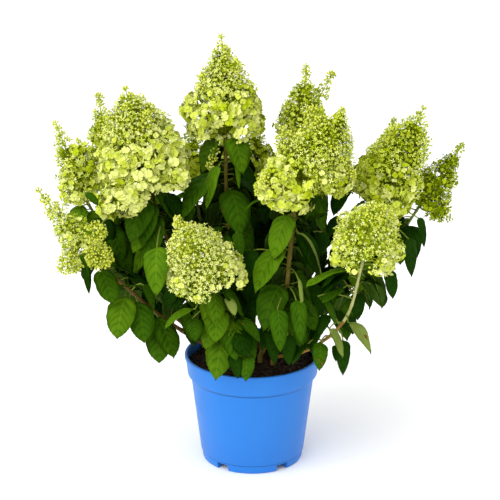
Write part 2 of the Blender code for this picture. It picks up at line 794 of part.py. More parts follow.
def centre_on_origin(model, cutters):
    """Moves everything level, so that the box round the whole object stands centred on the origin."""
    points = []
    for obj in model.objects:
        mesh = evaluated_mesh(obj)
        points += [vertex.co.copy() for vertex in mesh.vertices]
        bpy.data.meshes.remove(mesh)
    middle_x = (min(point.x for point in points) + max(point.x for point in points)) / 2
    middle_y = (min(point.y for point in points) + max(point.y for point in points)) / 2
    shift = Vector((-middle_x, -middle_y, 0.0))
    for obj in list(model.objects) + list(cutters.objects):
        obj.location += shift
    return tuple(round(value, 6) for value in shift)


def main():
    clear_scene()
    model = new_collection("panicle_hydrangea_in_pot")
    cutters = new_collection("cutters")
    pot = build_pot(model, cutters)
    soil = lathe("soil", soil_profile(), SOIL_STEPS, model)
    give_material(soil, SOIL_BROWN, 0.9)
    placed = Placed()
    for obj in (pot, soil):
        mesh = evaluated_mesh(obj)
        faces = [tuple(face.vertices) for face in mesh.polygons]
        placed.add(obj.name, [vertex.co.copy() for vertex in mesh.vertices], faces)
        bpy.data.meshes.remove(mesh)
    limbs = build_limbs(model, placed)
    for bough, _, _, _ in limbs.values():
        give_material(bough, STEM_BROWN, 0.7)
    cores = build_bloom_cores(placed)
    build_blooms(limbs, cores, placed)
    made = build_leaves(limbs, placed)
    print("leaves", made, "pot axis", centre_on_origin(model, cutters))


main()
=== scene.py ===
"""Looks of the panicle hydrangea in its blue nursery pot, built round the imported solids.

The shoots, leaves and sprays grow by the rule of the solids, from the same named sizes, and are carried
finer here: veined leaves on petioles, and blooms of rachis, branches, stalks, florets and buds.
"""

import math
import random
from collections import namedtuple

import bpy
import numpy as np
from mathutils import Matrix, Vector


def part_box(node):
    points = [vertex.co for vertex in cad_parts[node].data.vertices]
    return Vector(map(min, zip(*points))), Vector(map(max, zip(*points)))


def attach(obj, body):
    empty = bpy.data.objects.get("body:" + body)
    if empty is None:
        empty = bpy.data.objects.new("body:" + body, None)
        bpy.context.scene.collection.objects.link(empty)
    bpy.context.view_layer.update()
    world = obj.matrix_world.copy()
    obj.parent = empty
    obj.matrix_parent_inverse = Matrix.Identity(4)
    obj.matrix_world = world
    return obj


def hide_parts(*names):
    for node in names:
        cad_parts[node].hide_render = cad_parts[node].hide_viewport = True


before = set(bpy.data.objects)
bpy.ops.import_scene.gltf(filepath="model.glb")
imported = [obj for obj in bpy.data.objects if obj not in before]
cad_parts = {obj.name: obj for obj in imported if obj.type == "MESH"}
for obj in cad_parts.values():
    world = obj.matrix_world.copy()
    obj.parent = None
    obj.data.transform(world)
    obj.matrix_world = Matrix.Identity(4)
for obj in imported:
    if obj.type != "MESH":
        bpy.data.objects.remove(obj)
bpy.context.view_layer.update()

# Place of the pot's axis in the shared frame
POT_LOW, POT_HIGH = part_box("pot")
AXIS_X = (POT_LOW[0] + POT_HIGH[0]) / 2
AXIS_Y = (POT_LOW[1] + POT_HIGH[1]) / 2
SHIFT = Vector((AXIS_X, AXIS_Y, 0.0))

# Nearly a full turn, for what may stand at any turn
SPIN = 6.28

# Camera, floor and light
PITCH = math.radians(18.86)
DISTANCE = 3.2
AIM = Vector((-0.0041, 0.0, 0.3754))
LENS = 136.45
FLOOR_REACH = 14.0
FLOOR_DROP = 0.0002
WORLD_STRENGTH = 1.10
SUN_PLACE = (-2.4, -2.4, 2.6)
SUN_STRENGTH = 2.10
SUN_ANGLE = 70

# Pot
RIM_RADIUS = 0.1165
POT_HEIGHT = 0.190
LIP_DEPTH = 0.007
LIP_ROUND = 0.002
LIP_STEP = 0.001
BAND_RADIUS = 0.1145
BAND_FOOT_RADIUS = 0.1118
BAND_FOOT_HEIGHT = 0.1555
WALL_TOP_RADIUS = 0.1055
WALL_TOP_HEIGHT = 0.149
WALL_FOOT_RADIUS = 0.0893
RING_HEIGHT = 0.015
RING_STEP = 0.001
RING_ROUND = 0.003
RING_RADIUS = 0.0880
BASE_RADIUS = 0.0865
RING_WIDTH = 0.010
WALL = 0.0024
POT_STEPS = 144
FOOT_COUNT = 5
NOTCH_WIDTH = 0.022
NOTCH_HEIGHT = 0.012
# The crease heights also bound the faces of the pot that are painted with shade
CREASE_HIGH = WALL_TOP_HEIGHT + 0.0026
RING_CREASE = 0.0012
SHARP_ANGLE = 34

# Soil
GAP = 0.0003
SOIL_HEIGHT = 0.176
SOIL_EDGE_DROP = 0.004
SOIL_EDGE_RADIUS = 0.1095
SOIL_FLAT_RADIUS = 0.068
SOIL_RINGS = 26
SOIL_SIDES = 72
SOIL_SEED = 41
CHIP_COUNT = 1500
CHIP_REACH = 0.1045
CHIP_LEAST = 0.0010
CHIP_MOST = 0.0042
CHIP_STRETCHES = ((0.8, 1.5), (0.5, 1.0), (0.25, 0.5))
CHIP_RISE = 0.0022
BARK_SHARE = 0.7
BOX_CORNERS = np.array([(x, y, z) for z in (-1, 1) for y in (-1, 1) for x in (-1, 1)], float)
BOX_FACES = (
    (0, 2, 3), (0, 3, 1), (4, 5, 7), (4, 7, 6), (0, 1, 5), (0, 5, 4),
    (2, 6, 7), (2, 7, 3), (0, 4, 6), (0, 6, 2), (1, 3, 7), (1, 7, 5),
)

# Stems
FOOT_SPREAD = 0.19
FOOT_RISE = 0.014
BEND_OUT_SHARE = 0.58
BEND_UP_SHARE = 0.44
KNOT_STEPS = 12
WAY_STEPS = 40
BOUGH_RADIUS = 0.0043
BOUGH_TIP_RADIUS = 0.0036
STEM_RADIUS = 0.0034
STEM_TIP_RADIUS = 0.0024
BOUGH_RADII = {"i": (0.0031, 0.0028), "d": (0.0038, 0.0034)}
LIMB_RADII = {"f": (0.0038, 0.0036), "a": (0.0034, 0.0031), "i": (0.0027, 0.0022), "d": (0.0036, 0.0030)}
BARE_SHARE = 0.30
JOINT_LENGTH = 0.003
JOINT_GAP = 0.0004
STEM_STEPS = 6
LIMB_STEPS = 48
KNOT_SWELL = 0.28
KNOT_REACH = 0.0028
BOUGH_KNOTS = (0.45, 0.8)
BOUGH_SIDES = 14
STEM_SIDES = 12
BOUGH_BARK = 0.035
STEM_BARK = 0.02

# Bark of the limbs that show, by shoot: the others are brown below and green above
BROWN, TAN, GREEN_BARK, PALE_BARK, RUSSET = range(5)
BOUGH_BARKS = {"f": TAN, "i": RUSSET}
STEM_BARKS = {"a": TAN, "d": BROWN, "f": TAN, "g": BROWN, "b": BROWN, "i": PALE_BARK}
RUSSET_FEET = {"i": 0.42}

# Leaves
PAIR_SPACING = 0.038
LOWEST_PAIR = 0.03
PAIRED_SHARE = 0.93
LEAF_LENGTH = 0.100
UPPER_LEAF_SHARE = 0.72
LEAF_WIDTH_SHARE = 0.52
PETIOLE_SHARE = 0.20
SHOWN_RISE = 0.062
ARCH_OUT_SHARE = 0.62
ARCH_UP_SHARE = 0.16
LEAST_DROOP = 28
MOST_DROOP = 62
LOW_LEAF_DROOP = 12
LEAF_SEED = 7
LEAF_TRIES = 6
SHOWN_LOW_GAP = 0.004
SHOWN_HIGH_GAP = 0.006
SHOWN_STEPS = 100
CORNER_SLACK = 0.0005
REAR_DEPTH = 0.09
LOWEST_TIP = 0.222
SKIRT_RADIUS = 0.17
SKIRT_SLOPE = 1.0
LEAF_ROWS = 17
LEAF_COLUMNS = 6
VEIN_PAIRS = 6
VEIN_SWEEP = 0.60
QUILT_RELIEF = 0.085
ROW_POWER = 1.5
LEAF_ROLL = 0.30
LEAF_FOLDS = (0.04, 0.24)
LEAF_WAVES = (0.02, 0.07)
LEAF_TEETH = (1.02, 0.975)
EDGE_DROOP = 0.20
BLADE_THICKNESS = 0.00035
BLADE_EDGE = 0.00006
BLADE_WIDTHS = (
    (0.0, 0.04), (0.04, 0.32), (0.10, 0.60), (0.20, 0.87), (0.32, 0.99), (0.45, 1.0), (0.57, 0.98),
    (0.68, 0.91), (0.78, 0.77), (0.86, 0.58), (0.92, 0.37), (0.965, 0.15), (1.0, 0.0),
)
BLADE_FULLNESS = 1.20
PETIOLE_RADII = (0.0014, 0.0010)
RIB_RADII = (0.0010, 0.0003)
RIB_SUNK = 0.0007

# The triangle that tells which way the faces of a blade turn
PROBE_TRIANGLE = 44

# Smaller leaves between the pairs, more of them in some shoots, and clear of the stems that show bare
INNER_LEAVES = 4
INNER_LEAF_SHARE = 0.80
INNER_TRIES = 10
DENSE_PLANTS = {"a": 8, "e": 7, "j": 7, "k": 8, "rear_mid": 5, "f": 7, "b": 5, "i": 5, "behind_f": 5}
CLEAR_STEMS = {"a": 0.43, "f": 0.30, "d": 0.25, "i": 0.24}
CLEAR_WIDTH = 0.017
CLEAR_HEIGHT = 0.012
CLEAR_DEPTH = 0.006
HIDING_PARTS = ((0.35, 1.0), (0.5, 1.0), (0.65, 1.0), (0.8, 1.0), (1.0, 0.4))
BLOOM_SLACK = 0.004

# Points at a bough's foot that aren't kept clear, and that carry no placed leaf
CLEAR_FROM = 4
CARRIER_FROM = 5

# Leaves that the photograph shows one by one, and the shoots whose shown leaves bend down
HANGING = ("d",)
HANG_SHARE = -0.14
PLACED_PETIOLE_SHARE = 0.06
PLACED_ARCH = 0.02
PLACED_RADII = (0.0016, 0.0011)
PETIOLE_ARCH = 0.012
CARRIER_RANGE = 0.05

# Leaf colours, and the least light that a leaf needs for the brighter ones: the lit, mid-shade and deep-shade
# greens are one leaf green with painted light and shade, besides some tone of the leaves' own, and the shaded
# underside is painted shade
LIT_LEAF, MID_SHADE_LEAF, DEEP_SHADE_LEAF, PALE_LEAF, SHADED_UNDER, BROWNED = range(6)
LEAF_LIGHTS = ((0.50, LIT_LEAF), (0.20, MID_SHADE_LEAF))

# Colours of each shoot's shown leaves: one without a colour is left to the placed leaves
SHOWN_TONES = {
    "b": (MID_SHADE_LEAF, MID_SHADE_LEAF, MID_SHADE_LEAF, None),
    "a": (None, None, None, MID_SHADE_LEAF, MID_SHADE_LEAF),
    "d": (MID_SHADE_LEAF, LIT_LEAF, MID_SHADE_LEAF, MID_SHADE_LEAF, MID_SHADE_LEAF),
    "e": (LIT_LEAF, LIT_LEAF, MID_SHADE_LEAF, LIT_LEAF),
    "f": (LIT_LEAF, LIT_LEAF, MID_SHADE_LEAF, None, DEEP_SHADE_LEAF),
    "h": (DEEP_SHADE_LEAF, None),
}

# Placed leaves: root, tip, colour and width
PLACED_LEAVES = (
    ((-0.056, 0.012, 0.567), (-0.084, 0.002, 0.508), LIT_LEAF, 0.78),
    ((-0.034, -0.020, 0.577), (-0.016, -0.050, 0.524), LIT_LEAF, 0.74),
    ((-0.055, -0.040, 0.535), (-0.076, -0.060, 0.465), LIT_LEAF, 0.50),
    ((0.113, -0.130, 0.260), (0.109, -0.165, 0.223), MID_SHADE_LEAF, 0.50),
    ((0.149, -0.120, 0.260), (0.149, -0.140, 0.204), DEEP_SHADE_LEAF, 0.42),
    ((0.138, -0.110, 0.247), (0.138, -0.120, 0.221), DEEP_SHADE_LEAF, 0.50),
    ((0.125, -0.150, 0.291), (0.148, -0.160, 0.244), PALE_LEAF, 0.62),
    ((0.156, -0.130, 0.295), (0.194, -0.150, 0.247), PALE_LEAF, 0.58),
    ((0.172, -0.090, 0.330), (0.174, -0.100, 0.286), DEEP_SHADE_LEAF, 0.60),
    ((0.179, -0.140, 0.380), (0.208, -0.150, 0.332), DEEP_SHADE_LEAF, 0.38),
    ((0.217, -0.160, 0.393), (0.226, -0.170, 0.350), DEEP_SHADE_LEAF, 0.60),
    ((0.258, -0.050, 0.412), (0.265, -0.060, 0.348), DEEP_SHADE_LEAF, 0.50),
    ((0.276, -0.020, 0.439), (0.287, -0.030, 0.389), DEEP_SHADE_LEAF, 0.36),
    ((0.160, -0.150, 0.396), (0.085, -0.190, 0.378), LIT_LEAF, 0.48),
    ((0.106, -0.140, 0.344), (0.137, -0.150, 0.298), MID_SHADE_LEAF, 0.44),
    ((0.072, -0.130, 0.449), (0.112, -0.140, 0.380), PALE_LEAF, 0.24),
    ((0.071, -0.140, 0.337), (0.079, -0.160, 0.267), MID_SHADE_LEAF, 0.40),
    ((0.040, -0.150, 0.324), (0.045, -0.170, 0.257), MID_SHADE_LEAF, 0.44),
    ((0.058, -0.130, 0.272), (0.060, -0.150, 0.226), DEEP_SHADE_LEAF, 0.52),
    ((0.093, -0.120, 0.254), (0.065, -0.150, 0.229), DEEP_SHADE_LEAF, 0.50),
    ((0.118, -0.100, 0.277), (0.095, -0.120, 0.238), DEEP_SHADE_LEAF, 0.50),
    ((0.128, -0.080, 0.368), (0.153, -0.090, 0.319), DEEP_SHADE_LEAF, 0.50),
    ((0.095, -0.080, 0.342), (0.115, -0.100, 0.291), DEEP_SHADE_LEAF, 0.52),
    ((-0.154, -0.140, 0.428), (-0.155, -0.170, 0.354), LIT_LEAF, 0.56),
    ((-0.093, -0.150, 0.326), (-0.142, -0.170, 0.299), LIT_LEAF, 0.28),
    ((-0.276, -0.100, 0.389), (-0.267, -0.120, 0.339), DEEP_SHADE_LEAF, 0.28),
    ((-0.269, -0.140, 0.519), (-0.246, -0.150, 0.501), MID_SHADE_LEAF, 0.62),
    ((-0.254, -0.160, 0.460), (-0.272, -0.170, 0.470), LIT_LEAF, 0.66),
    ((-0.279, -0.160, 0.420), (-0.263, -0.160, 0.386), MID_SHADE_LEAF, 0.50),
    ((-0.266, -0.120, 0.435), (-0.229, -0.120, 0.423), DEEP_SHADE_LEAF, 0.40),
    ((-0.229, -0.100, 0.349), (-0.179, -0.120, 0.356), MID_SHADE_LEAF, 0.46),
    ((-0.180, -0.100, 0.349), (-0.162, -0.110, 0.309), MID_SHADE_LEAF, 0.60),
    ((0.016, -0.060, 0.483), (-0.014, -0.070, 0.465), MID_SHADE_LEAF, 0.60),
    ((-0.027, -0.030, 0.534), (-0.022, -0.040, 0.494), LIT_LEAF, 0.22),
    ((-0.034, -0.140, 0.246), (-0.024, -0.165, 0.209), DEEP_SHADE_LEAF, 0.50),
    ((-0.007, -0.140, 0.241), (-0.011, -0.165, 0.204), MID_SHADE_LEAF, 0.58),
    ((-0.030, -0.130, 0.304), (0.012, -0.160, 0.270), MID_SHADE_LEAF, 0.46),
    ((0.026, -0.120, 0.276), (0.037, -0.140, 0.222), DEEP_SHADE_LEAF, 0.50),
    ((0.150, -0.130, 0.356), (0.112, -0.160, 0.340), MID_SHADE_LEAF, 0.50),
    ((-0.027, -0.060, 0.427), (-0.019, -0.080, 0.387), MID_SHADE_LEAF, 0.46),
    ((0.004, -0.060, 0.396), (-0.011, -0.080, 0.345), DEEP_SHADE_LEAF, 0.54),
    ((0.079, -0.060, 0.413), (0.087, -0.070, 0.368), DEEP_SHADE_LEAF, 0.60),
    ((0.115, -0.050, 0.424), (0.115, -0.060, 0.385), DEEP_SHADE_LEAF, 0.66),
    ((0.074, -0.135, 0.372), (0.082, -0.145, 0.310), PALE_LEAF, 0.14),
    ((-0.098, -0.120, 0.298), (-0.093, -0.140, 0.264), MID_SHADE_LEAF, 0.70),
    ((-0.035, -0.140, 0.365), (-0.056, -0.160, 0.355), DEEP_SHADE_LEAF, 0.56),
    ((0.059, -0.080, 0.347), (0.047, -0.100, 0.301), DEEP_SHADE_LEAF, 0.60),
    ((0.087, -0.100, 0.305), (0.097, -0.110, 0.256), DEEP_SHADE_LEAF, 0.54),
    ((0.009, -0.080, 0.315), (-0.009, -0.100, 0.270), DEEP_SHADE_LEAF, 0.60),
    ((-0.050, -0.100, 0.270), (-0.034, -0.110, 0.238), DEEP_SHADE_LEAF, 0.60),
    ((0.128, -0.100, 0.296), (0.108, -0.120, 0.268), DEEP_SHADE_LEAF, 0.56),
    ((-0.043, -0.140, 0.343), (-0.028, -0.165, 0.319), PALE_LEAF, 0.52),
    ((0.096, -0.060, 0.493), (0.078, -0.080, 0.441), MID_SHADE_LEAF, 0.60),
    ((0.103, -0.050, 0.488), (0.118, -0.070, 0.432), MID_SHADE_LEAF, 0.60),
    ((0.084, -0.070, 0.456), (0.124, -0.090, 0.475), MID_SHADE_LEAF, 0.50),
    ((0.162, -0.040, 0.500), (0.133, -0.060, 0.455), DEEP_SHADE_LEAF, 0.60),
    ((0.145, -0.050, 0.453), (0.124, -0.070, 0.422), DEEP_SHADE_LEAF, 0.66),
)

# Brown marks of the placed leaves, by tip: place across and along the blade, width and height
BROWN_MARKS = {
    (0.194, -0.150, 0.247): ((0.62, 0.64, 0.10, 0.06), (0.50, 1.00, 0.50, 0.05)),
    (0.109, -0.165, 0.223): ((0.95, 0.45, 0.16, 0.05), (0.40, 0.72, 0.09, 0.03), (0.80, 0.80, 0.16, 0.04)),
}

# Blooms
GOLDEN_ANGLE = math.radians(137.508)
RACHIS_RADIUS = 0.0022
RACHIS_TIP_RADIUS = 0.0009
BRANCH_RADII = (0.0016, 0.0010)
SPIKE_RADII = (0.0010, 0.0006)
BRANCH_START = 0.12
LARGE_LOBE = 0.035
SHOWY_LOBE = 0.025
LOBE_SHARE = 0.45
LOBE_SHOWY = 0.9
SMALL_LOBE_SHOWY = 0.35
SPRAY_LOW = 0.0255
SPRAY_HIGH = 0.0150
LOWEST_RISE = 0.019
AIRY_SPRAY = 0.0215
CAP_SHARE = 0.60
OPEN_AIR = 0.20
AIRY = 0.15
AIR_THINNING = 0.30
MISSING_SHARE = 0.20
BLOOM_GROUPS = {
    "left": ("a", "b", "back_left", "c"),
    "front": ("d", "e", "i"),
    "right": ("f", "behind_f", "g", "h"),
    "rear": ("j", "k", "rear_left", "rear_mid", "rear_right", "rear_end", "rear_low"),
}

# Spikes and little domes of the racemes
SPIKE_RADIUS = 0.0175
SPIKE_SPACING = 0.0112
SPIKE_CAP = 0.0060
SPIKE_LIMIT = 0.0076
SPIKE_COUNT = 9
SPIKE_LEAST_RING = 0.0028
SPIKE_START = 0.15
SPIKE_SHARES = {"a": 0.40, "behind_f": 0.70}
SIDE_SPIKE_LEAST = 0.070
SIDE_SPIKE_SHARES = (0.46, 0.58, 0.68)
SIDE_SPIKE_LENGTH = 0.032
SIDE_SPIKE_RADIUS = 0.0115
UMBEL_SPACING = 0.0130
UMBEL_START = 0.16

# Florets and buds
LARGE_RADIUS = 0.0086
SMALL_RADIUS = 0.0048
SPIKE_FLORET = 0.0027
INNER_FLORET = 0.0054
SHOWY_FLORET = 0.0055
LARGE_LEAST = 0.0058
MEDIUM_LEAST = 0.0048
BUD_RADIUS = 0.0022
PEARL_RADIUS = 0.0015
PEARL_LIFT = 0.0012
PEARL_STEPS = {"e": 7, "i": 8, "f": 16, "b": 18}
PEARL = 2
FLORET_STALK = 0.00045
SPIKE_STALK = 0.0009
SPRAY_STALK = 0.0010
STALK_TAPER = 0.75
SPIKE_BUDS = 0.72
LOWEST_BUDS = 0.04
BUDS_RISE = 0.40
PALE, LIME, GREEN, OLIVE, HEARTED = range(5)
OUTER_TONES = ((0.78, PALE), (0.42, LIME), (0.05, GREEN))
# The florets inside a bloom take darker tones: painted shade
SHADED_INNER_TONES = ((0.75, GREEN),)
LARGE_SEPAL = ((0.04, 0.05), (0.38, 0.50), (0.76, 0.64), (1.02, 0.26))
MEDIUM_SEPAL = ((0.06, 0.08), (0.60, 0.62), (1.0, 0.20))

# How a kind of spray is set: the angle that its cap opens to, how crowded it is, the room of a floret in
# squares of its radius, how far a floret turns aside, and its least and greatest share of the size.
SprayKind = namedtuple("SprayKind", "opening crowding room stray least most")
SHOWY_SPRAY = SprayKind(78, 1.22, 2.2, 0.34, 0.64, 1.14)
SMALL_SPRAY = SprayKind(92, 0.56, 2.0, 0.16, 0.80, 1.15)
SPIKE_SPRAY = SprayKind(110, 0.56, 2.0, 0.16, 0.80, 1.15)

# Outlines of the blooms, as shares of height and radius
CONE_PROFILE = (
    (0.0, 0.66), (0.1, 1.0), (0.25, 0.95), (0.5, 0.72), (0.68, 0.48), (0.82, 0.26), (0.9, 0.16), (1.0, 0.08),
)
SHOULDER_PROFILE = (
    (0.0, 0.62), (0.1, 0.96), (0.28, 1.0), (0.5, 0.84), (0.72, 0.64), (0.84, 0.34), (0.91, 0.17), (1.0, 0.08),
)
EGG_PROFILE = ((0.0, 0.56), (0.12, 0.90), (0.3, 1.0), (0.5, 0.88), (0.7, 0.64), (0.88, 0.36), (1.0, 0.14))
DOME_PROFILE = ((0.0, 0.50), (0.15, 0.86), (0.4, 1.0), (0.65, 0.86), (0.85, 0.55), (1.0, 0.16))
FORMS = {"cone": CONE_PROFILE, "shoulder": SHOULDER_PROFILE, "egg": EGG_PROFILE, "dome": DOME_PROFILE}

# Circles, seen from the front, in which a bloom's lower edge has no spray, and the room round a stem
BLOOM_BAYS = {
    "a": (((-0.047, -0.030, 0.502), 0.084),),
    "b": (((-0.211, -0.120, 0.434), 0.049),),
    "e": (
        ((-0.124, -0.200, 0.348), 0.029), ((-0.046, -0.200, 0.350), 0.026), ((-0.079, -0.200, 0.327), 0.032),
    ),
    "f": (((0.119, -0.120, 0.457), 0.057), ((0.072, -0.140, 0.538), 0.012), ((0.090, -0.130, 0.586), 0.009)),
    "i": (((0.126, -0.210, 0.362), 0.057),),
}
STEM_NOTCHES = {"i": 0.015}
NOTCH_RISE = 0.006

# Small lobes that the solids leave out
EXTRA_LOBES = {
    "c": (((-0.288, 0.012, 0.538), 0.027),),
    "f": (((0.100, -0.085, 0.632), 0.019), ((0.028, -0.140, 0.519), 0.027)),
}

# Materials
NOISE_ROUGHNESS = 0.6
BLACK = (0.0, 0.0, 0.0)
WHITE = (1.0, 1.0, 1.0)
LEAF_BROWN = (0.150, 0.050, 0.015)

Spray = namedtuple("Spray", "hub facing cap share foot")
Growth = namedtuple("Growth", "large small buds twigs")

# Every shoot: where it turns on the way up, its neck below the bloom, the bloom's tip and radius, its side
# lobes as centre and radius, the turn of its lowest pair of leaves, the tips of the leaves that hang plain
# to see, how far up the bloom its large florets reach, and, from 0 to 1, how pale the bloom is, how much
# air it holds, and the size of its large florets.
Shoot = namedtuple("Shoot", "name bends neck tip radius profile lobes twist shown showy pale air size")


def shoot(
    name, neck, tip, radius, bends=(), form="cone", lobes=(), twist=0.0, shown=(), showy=0.4, pale=0.5,
    air=0.0, size=0.85,
):
    return Shoot(name, bends, neck, tip, radius, FORMS[form], lobes, twist, shown, showy, pale, air, size)


SHOOTS = (
    shoot(
        "a", (-0.045, 0.018, 0.571), (-0.051, 0.020, 0.739), 0.074,
        bends=((-0.030, 0.000, 0.330), (-0.043, 0.002, 0.464)),
        lobes=(((-0.066, -0.012, 0.540), 0.016),), twist=45,
        shown=((-0.076, -0.055, 0.520), (-0.018, -0.055, 0.526), (-0.072, -0.070, 0.467),
               (-0.116, -0.050, 0.447), (-0.019, -0.060, 0.419)),
        showy=0.40, pale=0.76, size=0.86,
    ),
    shoot(
        "b", (-0.171, -0.030, 0.497), (-0.207, -0.030, 0.665), 0.080, form="shoulder",
        lobes=(((-0.215, -0.100, 0.492), 0.042), ((-0.126, -0.075, 0.526), 0.026)), twist=65,
        shown=((-0.200, -0.080, 0.413), (-0.182, -0.070, 0.406), (-0.133, -0.060, 0.450),
               (-0.155, -0.130, 0.339)),
        showy=0.45, pale=0.9, size=1.0,
    ),
    shoot(
        "back_left", (-0.243, 0.100, 0.450), (-0.262, 0.105, 0.620), 0.050,
        twist=10, showy=0.25, pale=0.75, size=0.7,
    ),
    shoot(
        "c", (-0.281, 0.020, 0.458), (-0.328, 0.020, 0.593), 0.041,
        twist=50, showy=0.14, pale=0.68, air=0.1, size=0.7,
    ),
    shoot(
        "d", (-0.262, -0.080, 0.386), (-0.350, -0.070, 0.503), 0.041,
        bends=((-0.143, -0.062, 0.271), (-0.212, -0.085, 0.343)),
        lobes=(((-0.245, -0.138, 0.411), 0.024), ((-0.300, -0.112, 0.390), 0.021),
               ((-0.250, -0.145, 0.455), 0.020)), twist=35,
        shown=((-0.227, -0.140, 0.330), (-0.221, -0.150, 0.273), (-0.177, -0.140, 0.262),
               (-0.154, -0.130, 0.222), (-0.129, -0.130, 0.231)),
        showy=0.0, pale=0.72, air=0.16,
    ),
    shoot(
        "e", (-0.070, -0.125, 0.360), (-0.119, -0.216, 0.503), 0.068,
        bends=((-0.040, -0.085, 0.270),), twist=80,
        shown=((-0.061, -0.147, 0.198), (-0.018, -0.150, 0.240), (-0.001, -0.140, 0.220),
               (-0.068, -0.150, 0.284)),
        showy=0.14, pale=1.0, air=0.25, size=0.8,
    ),
    shoot(
        "f", (0.068, -0.100, 0.487), (0.145, -0.105, 0.650), 0.074, form="shoulder",
        bends=((0.050, -0.078, 0.292), (0.061, -0.095, 0.400)),
        lobes=(((0.040, -0.140, 0.533), 0.038), ((0.135, -0.122, 0.538), 0.030),
               ((0.054, -0.085, 0.590), 0.021)), twist=45,
        shown=((0.034, -0.145, 0.408), (0.004, -0.150, 0.353), (0.018, -0.140, 0.283),
               (0.047, -0.130, 0.235), (0.104, -0.140, 0.380)),
        showy=0.33, pale=0.7, size=0.84,
    ),
    shoot(
        "behind_f", (0.082, 0.070, 0.548), (0.090, 0.070, 0.677), 0.049,
        lobes=(((0.124, 0.090, 0.639), 0.022),), twist=45, showy=0.08, pale=0.5, size=0.6,
    ),
    shoot(
        "g", (0.207, 0.000, 0.455), (0.285, 0.018, 0.620), 0.060,
        form="shoulder", twist=15, showy=0.4, pale=0.52, size=0.65,
    ),
    shoot(
        "h", (0.286, 0.060, 0.435), (0.356, 0.068, 0.541), 0.046,
        lobes=(((0.322, 0.060, 0.425), 0.022),), twist=70,
        shown=((0.269, 0.015, 0.340), (0.290, 0.020, 0.386)), showy=0.0, pale=0.05, air=0.1,
    ),
    shoot(
        "i", (0.178, -0.150, 0.409), (0.192, -0.236, 0.526), 0.065, form="egg",
        bends=((0.100, -0.085, 0.232), (0.154, -0.120, 0.300)), twist=40,
        shown=((0.087, -0.180, 0.378), (0.203, -0.200, 0.348), (0.226, -0.185, 0.358), (0.193, -0.150, 0.247),
               (0.151, -0.160, 0.212), (0.107, -0.150, 0.215)),
        showy=0.16, pale=0.76, air=0.25, size=0.8,
    ),
    shoot("j", (-0.103, 0.150, 0.440), (-0.107, 0.165, 0.560), 0.044, twist=30, showy=0.4, pale=0.3),
    shoot("k", (0.006, 0.135, 0.455), (0.002, 0.143, 0.572), 0.046, twist=60, showy=0.4, pale=0.3),
    shoot("rear_left", (-0.170, 0.200, 0.420), (-0.200, 0.240, 0.552), 0.058, twist=5, showy=0.4, pale=0.6),
    shoot("rear_mid", (-0.040, 0.230, 0.400), (-0.050, 0.285, 0.525), 0.060, twist=75, showy=0.4, pale=0.7),
    shoot("rear_right", (0.100, 0.200, 0.440), (0.118, 0.240, 0.585), 0.058, twist=35, showy=0.4, pale=0.6),
    shoot("rear_end", (0.210, 0.140, 0.420), (0.248, 0.180, 0.556), 0.056, twist=55, showy=0.4, pale=0.5),
    shoot(
        "rear_low", (0.060, 0.240, 0.312), (0.082, 0.305, 0.415), 0.048, form="egg", twist=20,
        showy=0.3, pale=0.6,
    ),
)


# Materials
def new_material(name, roughness, specular):
    material = bpy.data.materials.new(name)
    material.use_nodes = True
    shader = material.node_tree.nodes["Principled BSDF"]
    shader.inputs["Roughness"].default_value = roughness
    shader.inputs["Specular IOR Level"].default_value = specular
    return material, material.node_tree, shader


def add_node(tree, kind, **values):
    node = tree.nodes.new(kind)
    for name, value in values.items():
        setattr(node, name, value)
    return node


def noise(tree, scale, detail):
    place = add_node(tree, "ShaderNodeTexCoord")
    texture = add_node(tree, "ShaderNodeTexNoise")
    texture.inputs["Scale"].default_value = scale
    texture.inputs["Detail"].default_value = detail
    texture.inputs["Roughness"].default_value = NOISE_ROUGHNESS
    tree.links.new(place.outputs["Object"], texture.inputs["Vector"])
    return texture.outputs["Fac"]


def mottle(tree, scale, detail, *stops):
    """Colours that follow a noise: each stop is a height of the noise and its colour."""
    node = add_node(tree, "ShaderNodeValToRGB")
    elements = node.color_ramp.elements
    elements[0].position, elements[0].color = stops[0][0], (*stops[0][1], 1.0)
    elements[1].position, elements[1].color = stops[-1][0], (*stops[-1][1], 1.0)
    for position, colour in stops[1:-1]:
        element = elements.new(position)
        element.color = (*colour, 1.0)
    tree.links.new(noise(tree, scale, detail), node.inputs["Fac"])
    return node.outputs["Color"]


def mix(tree, factor, first, second):
    node = add_node(tree, "ShaderNodeMix", data_type="RGBA")
    tree.links.new(factor, node.inputs[0])
    for socket, value in ((node.inputs[6], first), (node.inputs[7], second)):
        if isinstance(value, tuple):
            socket.default_value = (*value, 1.0)
        else:
            tree.links.new(value, socket)
    return node.outputs[2]


def calculate(tree, operation, first, second=None, third=None):
    node = add_node(tree, "ShaderNodeMath", operation=operation)
    for index, value in enumerate((first, second, third)):
        if value is None:
            continue
        if isinstance(value, (int, float)):
            node.inputs[index].default_value = value
        else:
            tree.links.new(value, node.inputs[index])
    return node.outputs[0]


def finish_material(tree, shader, colour, scale, detail, strength, distance):
    """Links the colour, and adds a relief that follows a noise."""
    tree.links.new(colour, shader.inputs["Base Color"])
    relief = add_node(tree, "ShaderNodeBump")
    relief.inputs["Strength"].default_value = strength
    relief.inputs["Distance"].default_value = distance
    tree.links.new(noise(tree, scale, detail), relief.inputs["Height"])
    tree.links.new(relief.outputs["Normal"], shader.inputs["Normal"])


def pot_material(name, shade):
    material, tree, shader = new_material(name, 0.42, 0.25)
    dark = tuple(shade * value for value in (0.015, 0.166, 0.560))
    light = tuple(shade * value for value in (0.019, 0.178, 0.590))
    rough = mottle(tree, 30.0, 4.0, (0.3, (0.38, 0.38, 0.38)), (0.7, (0.46, 0.46, 0.46)))
    tree.links.new(rough, shader.inputs["Roughness"])
    colour = mottle(tree, 9.0, 4.0, (0.3, dark), (0.7, light))
    finish_material(tree, shader, colour, 1400.0, 2.0, 0.12, 0.0003)
    return material


